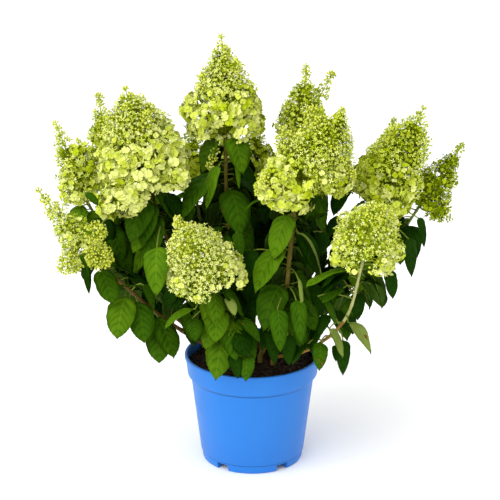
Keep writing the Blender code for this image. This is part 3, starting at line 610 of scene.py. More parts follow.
def earth_material(name, look, stops, grain):
    """Soil or bark chips: roughness and specular, colour noise and stops, and the noise of the relief."""
    roughness, specular, scale, detail = look
    material, tree, shader = new_material(name, roughness, specular)
    finish_material(tree, shader, mottle(tree, scale, detail, *stops), *grain)
    return material


def stem_material(name, dark, light, spot):
    material, tree, shader = new_material(name, 0.62, 0.12)
    ground = mottle(tree, 60.0, 6.0, (0.3, dark), (0.7, light))
    pores = mottle(tree, 520.0, 2.0, (0.58, BLACK), (0.70, WHITE))
    finish_material(tree, shader, mix(tree, pores, ground, spot), 300.0, 5.0, 0.5, 0.0006)
    return material


def leaf_material(name, dark, light, vein_tone_and_furrow_shade, rib, roughness=0.50, specular=0.015):
    """Colour between the veins drifts with noise, and the veins follow the rows of the leaf's own mesh.
    Between the side veins the colour moves towards the rib colour; on the upper faces the side veins are
    painted darker, as shade in their furrows, while on the pale underside they take a paler vein colour of
    their own.
    """
    material, tree, shader = new_material(name, roughness, specular)
    ground = mottle(tree, 45.0, 5.0, (0.32, dark), (0.68, light))
    place = add_node(tree, "ShaderNodeUVMap", uv_map="blade")
    split = add_node(tree, "ShaderNodeSeparateXYZ")
    tree.links.new(place.outputs["UV"], split.inputs[0])

    def times(first, second):
        return calculate(tree, "MULTIPLY", first, second)

    def rest_of(value):
        return calculate(tree, "SUBTRACT", 1.0, value)

    def above_zero(value):
        return calculate(tree, "MAXIMUM", value, 0.0)

    across_blade = calculate(tree, "ABSOLUTE", calculate(tree, "MULTIPLY_ADD", split.outputs["X"], 2.0, -1.0))
    along = calculate(tree, "MULTIPLY_ADD", split.outputs["Y"], float(VEIN_PAIRS), 0.5)
    off_vein = calculate(tree, "ABSOLUTE", calculate(tree, "SUBTRACT", calculate(tree, "FRACT", along), 0.5))
    ridged = mix(tree, times(off_vein, 0.50), ground, rib)
    fade = rest_of(times(across_blade, 0.80))
    side_vein = times(times(above_zero(rest_of(times(off_vein, 8.5))), fade), 0.55)
    veined = mix(tree, side_vein, ridged, vein_tone_and_furrow_shade)
    midrib = times(above_zero(rest_of(times(across_blade, 16.0))), 0.7)
    ribbed = mix(tree, midrib, veined, rib)
    spots = mottle(tree, 48.0, 2.0, (0.735, BLACK), (0.765, (0.8, 0.8, 0.8)))
    finish_material(tree, shader, mix(tree, spots, ribbed, LEAF_BROWN), 260.0, 4.0, 0.35, 0.0012)
    return material


def petal_material(name, dark, light):
    material, tree, shader = new_material(name, 0.85, 0.03)
    island = add_node(tree, "ShaderNodeNewGeometry")
    drift = mottle(tree, 95.0, 4.0, (0.3, dark), (0.7, light))
    lift = calculate(tree, "MULTIPLY", island.outputs["Random Per Island"], 0.5)
    finish_material(tree, shader, mix(tree, lift, drift, light), 700.0, 2.0, 0.15, 0.0003)
    return material


# The second pot material is the same blue darkened to 0.45: painted shade for the creases under the band and
# above the foot ring
POT_MATERIALS = [pot_material("pot_plastic", 1.0), pot_material("pot_shade", 0.45)]
SOIL_HUMUS = earth_material(
    "soil_humus", (0.95, 0.2, 140.0, 6.0),
    ((0.3, (0.006, 0.004, 0.003)), (0.55, (0.020, 0.012, 0.008)), (0.75, (0.050, 0.030, 0.018))),
    (420.0, 4.0, 0.8, 0.002),
)
SOIL_BARK = earth_material(
    "soil_bark", (0.9, 0.25, 75.0, 5.0),
    ((0.25, (0.010, 0.006, 0.004)), (0.5, (0.035, 0.019, 0.011)), (0.8, (0.085, 0.048, 0.026))),
    (600.0, 3.0, 0.6, 0.001),
)
BARKS = [
    stem_material("stem_brown", (0.058, 0.030, 0.005), (0.160, 0.092, 0.016), (0.22, 0.15, 0.05)),
    stem_material("stem_tan", (0.105, 0.085, 0.008), (0.225, 0.180, 0.028), (0.10, 0.065, 0.015)),
    stem_material("stem_green", (0.110, 0.170, 0.030), (0.260, 0.330, 0.090), (0.16, 0.08, 0.03)),
    stem_material("stem_pale", (0.340, 0.350, 0.100), (0.500, 0.500, 0.210), (0.26, 0.18, 0.07)),
    stem_material("stem_russet", (0.190, 0.090, 0.010), (0.340, 0.200, 0.035), (0.24, 0.13, 0.04)),
]
PETIOLE_LIME = stem_material("petiole_lime", (0.110, 0.160, 0.012), (0.200, 0.250, 0.030), (0.10, 0.11, 0.01))
STALK_LIME = stem_material("stalk_lime", (0.290, 0.380, 0.006), (0.420, 0.510, 0.022), (0.22, 0.30, 0.01))
# The first three leaf materials are one leaf green painted lit, in mid shade and in deep shade; leaf_under is
# the pale underside, and leaf_shaded_under the underside with painted shade
LEAF_MATERIALS = [
    leaf_material(
        "leaf_bright", (0.039, 0.106, 0.0015), (0.079, 0.170, 0.003), (0.015, 0.052, 0.001),
        (0.115, 0.210, 0.010),
    ),
    leaf_material(
        "leaf_mid", (0.017, 0.061, 0.001), (0.037, 0.103, 0.002), (0.007, 0.030, 0.001),
        (0.062, 0.135, 0.005),
    ),
    leaf_material(
        "leaf_deep", (0.0045, 0.024, 0.0004), (0.011, 0.045, 0.001), (0.002, 0.011, 0.0003),
        (0.016, 0.050, 0.002), 0.55, 0.02,
    ),
    leaf_material(
        "leaf_under", (0.155, 0.220, 0.028), (0.225, 0.295, 0.055), (0.23, 0.31, 0.07),
        (0.26, 0.34, 0.09), 0.75,
    ),
    leaf_material(
        "leaf_shaded_under", (0.022, 0.055, 0.004), (0.040, 0.085, 0.008), (0.03, 0.07, 0.006),
        (0.05, 0.10, 0.012), 0.8,
    ),
    petal_material("leaf_browned", (0.085, 0.034, 0.008), (0.170, 0.075, 0.022)),
]
FLORET_MATERIALS = [
    petal_material("petal_pale", (0.575, 0.645, 0.060), (0.760, 0.790, 0.300)),
    petal_material("petal_lime", (0.455, 0.545, 0.012), (0.625, 0.695, 0.110)),
    petal_material("petal_green", (0.310, 0.405, 0.003), (0.460, 0.545, 0.020)),
    petal_material("petal_olive", (0.105, 0.165, 0.0005), (0.200, 0.275, 0.002)),
    petal_material("floret_heart", (0.380, 0.450, 0.006), (0.500, 0.570, 0.025)),
]
BUD_MATERIALS = [
    petal_material("bud_lime", (0.480, 0.550, 0.015), (0.640, 0.680, 0.110)),
    petal_material("bud_olive", (0.260, 0.330, 0.006), (0.370, 0.440, 0.020)),
    petal_material("bud_pearl", (0.880, 0.900, 0.680), (0.950, 0.955, 0.840)),
]


def add_object(name, data):
    obj = bpy.data.objects.new(name, data)
    bpy.context.scene.collection.objects.link(obj)
    return obj


# Joined meshes from arrays
class Batch:
    """Gathers triangles of one kind and turns them into one mesh object."""

    def __init__(self, name, materials):
        self.name = name
        self.materials = materials
        self.points = []
        self.faces = []
        self.tints = []
        self.uvs = []
        self.count = 0

    def add(self, points, faces, tint=0, uvs=None):
        points = np.asarray(points, np.float64).reshape(-1, 3)
        faces = np.asarray(faces, np.int64).reshape(-1, 3)
        self.points.append(points)
        self.faces.append(faces + self.count)
        self.tints.append(np.broadcast_to(np.asarray(tint, np.int32), (len(faces),)))
        self.uvs.append(np.zeros((len(points), 2)) if uvs is None else np.asarray(uvs).reshape(-1, 2))
        self.count += len(points)

    def add_tube(self, line, radii, sides):
        """A tube that tapers from the first radius to the second."""
        self.add(*tube(line, np.linspace(*radii, len(line)), sides))

    def add_copies(self, template, places, turns, sizes, tints):
        """Copies of a template: places (k, 3), turns (k, 3, 3) and sizes (k,), with a tint each."""
        points, faces, face_tints = template
        if not len(places):
            return
        moved = np.einsum("kij,nj->kni", turns, points) * np.asarray(sizes)[:, None, None]
        moved += np.asarray(places)[:, None, :]
        offsets = np.arange(len(places))[:, None, None] * len(points)
        all_tints = np.where(face_tints[None, :] < 0, np.asarray(tints)[:, None], face_tints[None, :])
        self.add(moved.reshape(-1, 3), (faces[None] + offsets).reshape(-1, 3), all_tints.reshape(-1))

    def build(self, slot, replaced=()):
        points = np.concatenate(self.points) + np.array(SHIFT)
        faces = np.concatenate(self.faces)
        uvs = np.concatenate(self.uvs)
        mesh = bpy.data.meshes.new(self.name)
        mesh.vertices.add(len(points))
        mesh.vertices.foreach_set("co", points.astype(np.float32).ravel())
        mesh.loops.add(3 * len(faces))
        mesh.loops.foreach_set("vertex_index", faces.astype(np.int32).ravel())
        mesh.polygons.add(len(faces))
        mesh.polygons.foreach_set("loop_start", np.arange(0, 3 * len(faces), 3, dtype=np.int32))
        mesh.polygons.foreach_set("loop_total", np.full(len(faces), 3, np.int32))
        mesh.update(calc_edges=True)
        mesh.polygons.foreach_set("material_index", np.concatenate(self.tints).astype(np.int32))
        mesh.polygons.foreach_set("use_smooth", np.ones(len(faces), bool))
        layer = mesh.uv_layers.new(name="blade")
        layer.data.foreach_set("uv", uvs[faces.ravel()].astype(np.float32).ravel())
        for material in self.materials:
            mesh.materials.append(material)
        obj = add_object(self.name, mesh)
        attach(obj, "root")
        if replaced:
            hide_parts(*replaced)
        return obj


def unit(vectors):
    return vectors / np.maximum(np.linalg.norm(vectors, axis=-1, keepdims=True), 1e-12)


def turns_facing(normals, spins):
    """Rotations that carry +Z to each normal, spun about it."""
    normals = unit(np.asarray(normals, float))
    helper = np.where(np.abs(normals[:, 2:3]) < 0.9, [[0.0, 0.0, 1.0]], [[1.0, 0.0, 0.0]])
    side = unit(np.cross(helper, normals))
    front = np.cross(normals, side)
    cos, sin = np.cos(spins)[:, None], np.sin(spins)[:, None]
    return np.stack([cos * side + sin * front, cos * front - sin * side, normals], axis=2)


def tube(line, radii, sides):
    """A round tube along a line, closed at both ends, as points and triangles."""
    line = np.asarray([tuple(point) for point in line], float)
    ahead = unit(np.gradient(line, axis=0))
    helper = np.array([0.0, 1.0, 0.0]) if abs(ahead[0][1]) < 0.9 else np.array([1.0, 0.0, 0.0])
    side = unit(np.cross(helper, ahead[0]))
    angles = np.arange(sides) * 2 * math.pi / sides
    points = []
    for place, heading, radius in zip(line, ahead, radii):
        side = unit(side - heading * np.dot(side, heading))
        front = np.cross(heading, side)
        points.append(place + radius * (np.cos(angles)[:, None] * side + np.sin(angles)[:, None] * front))
    faces = []
    for ring in range(len(line) - 1):
        for corner in range(sides):
            here = ring * sides + corner
            following = ring * sides + (corner + 1) % sides
            faces.append((here, following, following + sides))
            faces.append((here, following + sides, here + sides))
    points = np.concatenate(points + [line[:1], line[-1:]])
    last = (len(line) - 1) * sides
    for corner in range(sides):
        following = (corner + 1) % sides
        faces.append((len(points) - 2, following, corner))
        faces.append((len(points) - 1, last + corner, last + following))
    return points, np.array(faces)


def straight_stalks(starts, ends, start_radii, end_radii):
    """Three-sided stalks, all at once, as points and triangles."""
    starts, ends = np.asarray(starts, float), np.asarray(ends, float)
    turns = turns_facing(ends - starts, np.zeros(len(starts)))
    angles = np.arange(3) * 2 * math.pi / 3
    circle = np.stack([np.cos(angles), np.sin(angles), np.zeros(3)], axis=1)
    spokes = np.einsum("kij,nj->kni", turns, circle)
    low = starts[:, None] + spokes * np.broadcast_to(start_radii, (len(starts),))[:, None, None]
    high = ends[:, None] + spokes * np.broadcast_to(end_radii, (len(starts),))[:, None, None]
    points = np.concatenate([low, high], axis=1).reshape(-1, 3)
    pattern = []
    for corner in range(3):
        following = (corner + 1) % 3
        pattern += [(corner, following, following + 3), (corner, following + 3, corner + 3)]
    faces = np.array(pattern)[None] + np.arange(len(starts))[:, None, None] * 6
    return points, faces.reshape(-1, 3)


def grid_faces(rows, columns, first=0):
    """Two triangles for each cell of a grid of points."""
    faces = []
    for row in range(rows):
        for column in range(columns):
            here = first + row * (columns + 1) + column
            above = here + columns + 1
            faces += [(here, here + 1, above + 1), (here, above + 1, above)]
    return faces


def arch(start, top, end, t):
    """Place at t, from 0 to 1, on the curve from start to end that bends towards top."""
    return (1 - t) ** 2 * start + 2 * t * (1 - t) * top + t * t * end


# Ways of the shoots, by the rule of the solids
def smooth_way(knots, steps):
    knots = [Vector(knot) for knot in knots]
    ends = [2 * knots[0] - knots[1]] + knots + [2 * knots[-1] - knots[-2]]
    fine = []
    for index in range(1, len(ends) - 2):
        before, start, end, after = ends[index - 1:index + 3]
        for step in range(KNOT_STEPS):
            t = step / KNOT_STEPS
            bend = (2 * before - 5 * start + 4 * end - after) * t * t
            twist = (3 * start - before - 3 * end + after) * t * t * t
            fine.append(0.5 * (2 * start + (end - before) * t + bend + twist))
    fine.append(knots[-1])
    return even_points(fine, steps)


def even_points(line, steps):
    lengths = line_lengths(line)
    return [point_along(line, lengths, lengths[-1] * step / steps) for step in range(steps + 1)]


def line_lengths(line):
    lengths = [0.0]
    for before, after in zip(line, line[1:]):
        lengths.append(lengths[-1] + (after - before).length)
    return lengths


def point_along(line, lengths, distance):
    for index in range(1, len(line)):
        if distance <= lengths[index] or index == len(line) - 1:
            share = (distance - lengths[index - 1]) / max(lengths[index] - lengths[index - 1], 1e-9)
            return line[index - 1].lerp(line[index], min(max(share, 0.0), 1.0))
    return line[-1]


def shoot_way(plant):
    neck = Vector(plant.neck)
    foot = Vector((neck.x * FOOT_SPREAD, neck.y * FOOT_SPREAD, SOIL_HEIGHT + 2 * GAP))
    rise = foot + Vector((0, 0, FOOT_RISE))
    bends = [Vector(bend) for bend in plant.bends]
    if not bends:
        outward = foot.lerp(neck, BEND_OUT_SHARE)
        outward.z = foot.z + BEND_UP_SHARE * (neck.z - foot.z)
        bends = [outward]
    return foot, smooth_way([rise] + bends + [neck], WAY_STEPS)


def split_way(plant):
    """The bough's fine line, the leafy stem's fine line, and the stem's line as the solids have it."""
    foot, line = shoot_way(plant)
    cut = round(BARE_SHARE * (len(line) - 1))
    heading = (line[cut + 1] - line[cut - 1]).normalized()
    joint = line[cut]
    bough = [foot] + line[:cut] + [joint]
    start = joint + JOINT_GAP * heading
    rule_stem = [start] + even_points([start + JOINT_LENGTH * heading] + line[cut + 1:], STEM_STEPS)
    return bough, [start] + line[cut + 1:], rule_stem


def pair_count(stem):
    """How many pairs of leaves a leafy stem carries."""
    return max(2, round(line_lengths(stem)[-1] / PAIR_SPACING))


def pair_share(pair, pairs):
    """How far up its stem a pair of leaves stands."""
    return LOWEST_PAIR + PAIRED_SHARE * pair / (pairs - 1)


# Places that the picture shows bare
def seen_from_front(point):
    """Place across and up in the picture, and depth, of a point as the camera's direction shows it."""
    up = point.z * math.cos(PITCH) + point.y * math.sin(PITCH)
    return point.x, up, point.y * math.cos(PITCH) - point.z * math.sin(PITCH)


def clear_places(lines):
    """Places along the stems that show bare, above a height of each, which no leaf may cover."""
    found = []
    for name, lowest in CLEAR_STEMS.items():
        bough, stem, rule_stem = lines[name]
        found += [seen_from_front(point) for point in bough[CLEAR_FROM:] + stem if point.z > lowest]
    return np.array(found)


def hides_stem(clear, root, tip):
    """Whether a leaf would hang in front of a stem that shows bare."""
    for part, width in HIDING_PARTS:
        place = np.array(seen_from_front(root.lerp(tip, part)))
        off = np.abs(clear - place)
        in_front = place[2] < clear[:, 2] + CLEAR_DEPTH
        if ((off[:, 0] < width * CLEAR_WIDTH) & (off[:, 1] < CLEAR_HEIGHT) & in_front).any():
            return True
    return False


def inside_bloom(place):
    """Whether a place lies in one of the blooms, where no leaf grows."""
    for plant in SHOOTS:
        for base, tip, radius, profile in bloom_bodies(plant):
            axis = tip - base
            share = (place - base).dot(axis) / axis.length_squared
            off_axis = (place - base - share * axis).length
            if 0.0 < share < 1.0 and off_axis < radius * profile_radius(profile, share) - BLOOM_SLACK:
                return True
    return False


def in_bay(plant, hub):
    """Whether a spray would fill one of the bays that the bloom's lower edge shows."""
    hub_across, hub_up, hub_depth = seen_from_front(Vector(hub))
    for centre, radius in BLOOM_BAYS.get(plant.name, ()):
        bay_across, bay_up, bay_depth = seen_from_front(Vector(centre))
        if math.hypot(hub_across - bay_across, hub_up - bay_up) < radius:
            return True
    neck_across, neck_up, neck_depth = seen_from_front(Vector(plant.neck))
    aside = abs(hub_across - neck_across)
    return aside < STEM_NOTCHES.get(plant.name, 0.0) and hub_up < neck_up + NOTCH_RISE


# Leaves
def across(direction):
    level = Vector((direction.x, direction.y, 0.0))
    if level.length < 1e-6:
        level = Vector((0.0, -1.0, 0.0))
    level.normalize()
    return Vector((-level.y, level.x, 0.0))


def leaf_line(root, tip, arch_up):
    span = tip - root
    level = Vector((span.x, span.y, 0.0))
    top = root + ARCH_OUT_SHARE * level + Vector((0, 0, arch_up * span.length))
    return lambda t: arch(root, top, tip, t)


def lowest_tip(tip):
    """The skirt of leaves hangs lowest round the pot, and lifts towards the outer shoots."""
    return LOWEST_TIP + SKIRT_SLOPE * max(0.0, math.hypot(tip.x, tip.y) - SKIRT_RADIUS)


def drooping_tip(root, angle, length, droop):
    """Tip of a leaf that points to an angle round its stem and droops by another."""
    reach = Vector((math.cos(angle), math.sin(angle), 0.0)) * math.cos(droop)
    return root + length * (reach - Vector((0, 0, math.sin(droop))))


def leaf_roots(plant, stem):
    """Root and possible tips of each leaf, as the solids have them."""
    rng = random.Random("%s %d" % (plant.name, LEAF_SEED))
    lengths = line_lengths(stem)
    leaves = []
    for shown in plant.shown:
        tip = Vector(shown)
        height = min(max(tip.z + SHOWN_RISE, stem[0].z + SHOWN_LOW_GAP), stem[-1].z - SHOWN_HIGH_GAP)
        for step in range(SHOWN_STEPS + 1):
            root = point_along(stem, lengths, lengths[-1] * step / SHOWN_STEPS)
            if root.z >= height:
                break
        leaves.append((root, [tip]))
    pairs = pair_count(stem)
    for pair in range(pairs):
        share = pair_share(pair, pairs)
        root = point_along(stem, lengths, share * lengths[-1])
        turn = math.radians(plant.twist + 90 * pair)
        for flip in (0.0, math.pi):
            tips = []
            for attempt in range(LEAF_TRIES):
                stray = 0.2 + 0.13 * attempt
                angle = turn + flip + rng.uniform(-stray, stray)
                length = LEAF_LENGTH * (1 - (1 - UPPER_LEAF_SHARE) * share) * rng.uniform(0.88, 1.10)
                length *= 1 - 0.05 * attempt
                droop = math.radians(rng.uniform(LEAST_DROOP, MOST_DROOP) + LOW_LEAF_DROOP * (1 - share))
                tip = drooping_tip(root, angle, length, droop)
                if tip.z > lowest_tip(tip):
                    tips.append(tip)
            leaves.append((root, tips))
    return leaves


def inner_leaves(plant, stem, low, high, clear):
    """Root and tip of the smaller leaves between the pairs, which keep within the reach of the solids."""
    rng = random.Random("inner " + plant.name)
    lengths = line_lengths(stem)
    pairs = pair_count(stem)
    found = []
    for gap in range(pairs - 1):
        for number in range(DENSE_PLANTS.get(plant.name, INNER_LEAVES)):
            share = pair_share(gap + rng.uniform(0.15, 0.85), pairs)
            root = point_along(stem, lengths, share * lengths[-1])
            for attempt in range(INNER_TRIES):
                angle = rng.uniform(0, 2 * math.pi)
                length = INNER_LEAF_SHARE * LEAF_LENGTH * rng.uniform(0.80, 1.12)
                droop = math.radians(rng.uniform(LEAST_DROOP, MOST_DROOP))
                tip = drooping_tip(root, angle, length, droop)
                within = all(low[axis] < tip[axis] < high[axis] for axis in range(3))
                middle = root.lerp(tip, 0.5) + Vector((0, 0, 0.12 * length))
                open_place = tip.z > lowest_tip(tip) + 0.01 and not hides_stem(clear, root, tip)
                if within and open_place and not inside_bloom(tip) and not inside_bloom(middle):
                    found.append((root, tip))
                    break
    return found


def node_points(node):
    """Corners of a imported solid, in the plant's own frame."""
    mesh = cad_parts[node].data
    points = np.empty(len(mesh.vertices) * 3, np.float32)
    mesh.vertices.foreach_get("co", points)
    return points.reshape(-1, 3) - np.array(SHIFT)


def stands(points, place):
    """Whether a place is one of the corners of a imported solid."""
    return bool((np.abs(points - np.array(place)).max(axis=1) < CORNER_SLACK).any())


def blade_mesh(root, tip, rng, width_share, petiole_share, arch_up):
    """Points, triangles, face tints (0 above, 1 below), uvs, line and normals of a veined blade."""
    place = leaf_line(root, tip, arch_up)
    length = sum((place((k + 1) / 8) - place(k / 8)).length for k in range(8))
    half = BLADE_FULLNESS * width_share * length * (1 - petiole_share) / 2
    shares, widths = zip(*BLADE_WIDTHS)
    side = np.array(across(tip - root))
    roll = rng.uniform(-LEAF_ROLL, LEAF_ROLL)
    fold = rng.uniform(*LEAF_FOLDS)
    wave = rng.uniform(*LEAF_WAVES)
    phase = rng.uniform(0.0, SPIN)
    rows = np.linspace(0.0, 1.0, LEAF_ROWS) ** ROW_POWER
    columns = np.linspace(-1.0, 1.0, LEAF_COLUMNS + 1)
    grid_row, grid_column = np.meshgrid(rows, columns, indexing="ij")
    outward = np.abs(grid_column)
    sweep = VEIN_SWEEP * outward ** 1.25 * (1 - grid_row) * np.minimum(1.0, grid_row / 0.30)
    along = grid_row + sweep
    width = np.interp(along, shares, widths) * half
    teeth = np.where(np.arange(LEAF_ROWS) % 2 == 0, *LEAF_TEETH)[:, None]
    width = np.where(outward > 0.99, width * teeth, width)
    quilt = np.abs(np.sin(math.pi * grid_row * VEIN_PAIRS)) ** 0.7
    relief = QUILT_RELIEF * 2 * half * (quilt - 0.5) * np.minimum(1.0, outward * 4) * (1 - outward ** 3)
    lift = fold * outward * width - EDGE_DROOP * outward ** 2 * width + relief
    lift += wave * half * np.sin(9 * along + phase + 1.7 * np.sign(grid_column)) * outward ** 2
    flat = (petiole_share + along * (1 - petiole_share)).ravel()[:, None]
    start, end = np.array(root), np.array(tip)
    level = end - start
    top = start + ARCH_OUT_SHARE * np.array([level[0], level[1], 0.0])
    top[2] += arch_up * np.linalg.norm(level)
    ahead = unit(2 * (1 - flat) * (top - start) + 2 * flat * (end - top))
    up = unit(np.cross(side[None], ahead))
    up = np.where(up[:, 2:3] < 0, -up, up)
    leaned = math.cos(roll) * side[None] + math.sin(roll) * up
    raised = math.cos(roll) * up - math.sin(roll) * side[None]
    spread = (grid_column * width).ravel()[:, None]
    top_points = arch(start, top, end, flat) + spread * leaned + lift.ravel()[:, None] * raised
    thick = BLADE_THICKNESS * (1 - outward ** 2).ravel()[:, None] + BLADE_EDGE
    under_points = top_points - thick * raised
    faces, edge = blade_faces(len(top_points))
    first, second, third = top_points[faces[PROBE_TRIANGLE]]
    if np.cross(second - first, third - first).dot(raised[faces[PROBE_TRIANGLE][0]]) < 0:
        faces = faces[:, ::-1]
    everything = np.concatenate([faces, faces[:, ::-1] + len(top_points), edge])
    tints = np.repeat([0, 1], [len(faces), len(faces) + len(edge)])
    uv = np.stack([(grid_column.ravel() + 1) / 2, grid_row.ravel()], axis=1)
    points = np.concatenate([top_points, under_points])
    return points, everything, tints, np.concatenate([uv, uv]), place, raised


def blade_faces(under_start):
    """Triangles of a blade's upper face and of the rim that joins it to the lower one."""
    edge = []
    for row in range(LEAF_ROWS - 1):
        for column in (0, LEAF_COLUMNS):
            here = row * (LEAF_COLUMNS + 1) + column
            above = here + LEAF_COLUMNS + 1
            edge += [(here, above, above + under_start), (here, above + under_start, here + under_start)]
    return np.array(grid_faces(LEAF_ROWS - 1, LEAF_COLUMNS)), np.array(edge)


def dress_leaf(
    root, tip, rng, blades, petioles, tone=None, width_share=LEAF_WIDTH_SHARE, petiole_share=PETIOLE_SHARE,
    arch_up=ARCH_UP_SHARE, marks=(),
):
    """A veined blade with its brown marks, its petiole, and its midrib below the blade."""
    points, faces, tints, uvs, place, raised = blade_mesh(root, tip, rng, width_share, petiole_share, arch_up)
    tone = leaf_tone(root, tip, rng) if tone is None else tone
    # Upper faces take the leaf's tone; lower faces take the pale underside for pale leaves, else the
    # underside with painted shade
    tints = np.where(tints == 0, tone, PALE_LEAF if tone == PALE_LEAF else SHADED_UNDER)
    places = uvs[faces].mean(axis=1)
    for across_mark, along_mark, wide, tall in marks:
        off = ((places[:, 0] - across_mark) / wide) ** 2 + ((places[:, 1] - along_mark) / tall) ** 2
        tints = np.where(off < 1, BROWNED, tints)
    blades.add(points, faces, tints, uvs)
    petioles.add_tube([place(petiole_share * 1.08 * k / 5) for k in range(6)], PETIOLE_RADII, 5)
    rib = []
    for row in range(0, LEAF_ROWS, 4):
        sunk = RIB_SUNK * Vector(raised[row * (LEAF_COLUMNS + 1) + LEAF_COLUMNS // 2])
        rib.append(place(petiole_share + (1 - petiole_share) * (row / (LEAF_ROWS - 1)) ** ROW_POWER) - sunk)
    petioles.add_tube(rib, RIB_RADII, 4)


def leaf_tone(root, tip, rng):
    """Which of the leaf colours a leaf takes: painted light on the outside of the crown and painted shade
    within, with a random share of tone.
    """
    radial = Vector((tip.x, tip.y, 0.0))
    span = tip - root
    outward = span.dot(radial) / max(span.length * radial.length, 1e-6)
    light = 3.4 * (radial.length - 0.10) + 0.30 * outward + 0.8 * (tip.z - 0.33) + rng.uniform(-0.28, 0.28)
    return next((tone for least, tone in LEAF_LIGHTS if light > least), DEEP_SHADE_LEAF)


def nearest_stem(lines, root):
    """The nearest place on any shoot at about the height of a leaf's root."""
    places = [point for bough, stem, rule_stem in lines.values() for point in bough[CARRIER_FROM:] + stem]
    level = [point for point in places if abs(point.z - root.z) <= CARRIER_RANGE]
    return min(level, key=lambda point: (point - root).length)


def dress_placed_leaf(leaf, lines, rng, blades, petioles):
    """A leaf that the picture shows, with a stalk that starts at the nearest stem."""
    root, tip, tone, width_share = Vector(leaf[0]), Vector(leaf[1]), leaf[2], leaf[3] / BLADE_FULLNESS
    marks = BROWN_MARKS.get(leaf[1], ())
    dress_leaf(root, tip, rng, blades, petioles, tone, width_share, PLACED_PETIOLE_SHARE, PLACED_ARCH, marks)
    carrier = nearest_stem(lines, root)
    top = carrier.lerp(root, 0.6) + Vector((0, 0, PETIOLE_ARCH))
    petioles.add_tube([arch(carrier, top, root, k / 8) for k in range(9)], PLACED_RADII, 6)


def build_leaves(lines):
    groups = {"left": [], "right": [], "rear": []}
    for plant in SHOOTS:
        side = "left" if plant.neck[0] < 0 else "right"
        groups["rear" if plant.neck[1] > REAR_DEPTH else side].append(plant)
    clear = clear_places(lines)
    for group, plants in groups.items():
        blades = Batch("leaves_" + group, LEAF_MATERIALS)
        petioles = Batch("petioles_" + group, [PETIOLE_LIME])
        for plant in plants:
            rule_stem = lines[plant.name][2]
            corners = node_points("leaves_" + plant.name)
            rng = random.Random("blade " + plant.name)
            roots = leaf_roots(plant, rule_stem)
            for (root, tips), tone in zip(roots, SHOWN_TONES.get(plant.name, ())):
                if tone is not None:
                    arch_up = HANG_SHARE if plant.name in HANGING else ARCH_UP_SHARE
                    dress_leaf(root, tips[0], rng, blades, petioles, tone, arch_up=arch_up)
            for root, tips in roots[len(plant.shown):]:
                found = [tip for tip in tips if stands(corners, tip) and not hides_stem(clear, root, tip)]
                if found:
                    dress_leaf(root, found[0], rng, blades, petioles)
            for root, tip in inner_leaves(plant, rule_stem, corners.min(axis=0), corners.max(axis=0), clear):
                dress_leaf(root, tip, rng, blades, petioles)
        for leaf in PLACED_LEAVES:
            if group == ("left" if leaf[0][0] < 0 else "right"):
                dress_placed_leaf(leaf, lines, rng, blades, petioles)
        blades.build("leaf", ["leaves_" + plant.name for plant in plants])
        petioles.build("leaf")


# Stems
def limb_mesh(line, radii, sides, knots, bark):
    """A tapering limb with knots at shares of its length, and with shallow ribs of bark."""
    thick, thin = radii
    fine = even_points([Vector(point) for point in line], LIMB_STEPS)
    lengths = line_lengths(fine)
    widths = []
    for distance in lengths:
        width = thick + distance / lengths[-1] * (thin - thick)
        for knot in knots:
            width *= 1 + KNOT_SWELL * math.exp(-(((distance - knot * lengths[-1]) / KNOT_REACH) ** 2))
        widths.append(width)
    points, faces = tube(fine, widths, sides)
    for index, place in enumerate(fine):
        for corner in range(sides):
            angle = 2 * math.pi * corner / sides
            ripple = math.sin(3 * angle + 90 * lengths[index])
            ripple += 0.6 * math.sin(7 * angle - 210 * lengths[index] + 1.3)
            at = index * sides + corner
            points[at] = np.array(place) + (points[at] - np.array(place)) * (1 + bark * ripple)
    return points, faces


def build_stems(lines):
    boughs = Batch("boughs", BARKS)
    stems = Batch("leafy_stems", BARKS)
    for plant in SHOOTS:
        bough, stem, rule_stem = lines[plant.name]
        radii = BOUGH_RADII.get(plant.name, (BOUGH_RADIUS, BOUGH_TIP_RADIUS))
        points, faces = limb_mesh(bough, radii, BOUGH_SIDES, BOUGH_KNOTS, BOUGH_BARK)
        boughs.add(points, faces, BOUGH_BARKS.get(plant.name, BROWN))
        pairs = pair_count(rule_stem)
        knots = [pair_share(pair, pairs) for pair in range(pairs)]
        radii = LIMB_RADII.get(plant.name, (STEM_RADIUS, STEM_TIP_RADIUS))
        points, faces = limb_mesh(stem, radii, STEM_SIDES, knots, STEM_BARK)
        tints = np.full(len(faces), STEM_BARKS.get(plant.name, GREEN_BARK))
        tints[:round(RUSSET_FEET.get(plant.name, 0.0) * len(faces))] = RUSSET
        stems.add(points, faces, tints)
    boughs.build("stem", ["bough_" + plant.name for plant in SHOOTS])
    stems.build("leaf")


# Blooms
def profile_radius(profile, share):
    for (start, low), (end, high) in zip(profile, profile[1:]):
        if share <= end:
            return low + (high - low) * (share - start) / (end - start)
    return profile[-1][1]


def bloom_axes(axis):
    ahead = axis.normalized()
    side = ahead.cross(Vector((0.0, 1.0, 0.0))).normalized()
    return ahead, side, ahead.cross(side)


def bloom_bodies(plant):
    neck, tip = Vector(plant.neck), Vector(plant.tip)
    bodies = [(neck, tip, plant.radius, plant.profile)]
    for centre, radius in plant.lobes + EXTRA_LOBES.get(plant.name, ()):
        centre = Vector(centre)
        root = neck.lerp(tip, BRANCH_START)
        heading = (centre - root).normalized()
        bodies.append((centre - radius * heading, centre + radius * heading, radius, DOME_PROFILE))
    return bodies


class Axis:
    """A bloom body's axis, as arrays: places up it, and directions round it."""

    def __init__(self, base, tip):
        axis = tip - base
        self.length = axis.length
        self.ahead, self.side, self.front = [np.array(vector) for vector in bloom_axes(axis)]
        self.base, self.axis = np.array(base), np.array(axis)

    def at(self, share):
        return self.base + share * self.axis

    def outward(self, angle):
        return math.cos(angle) * self.side + math.sin(angle) * self.front


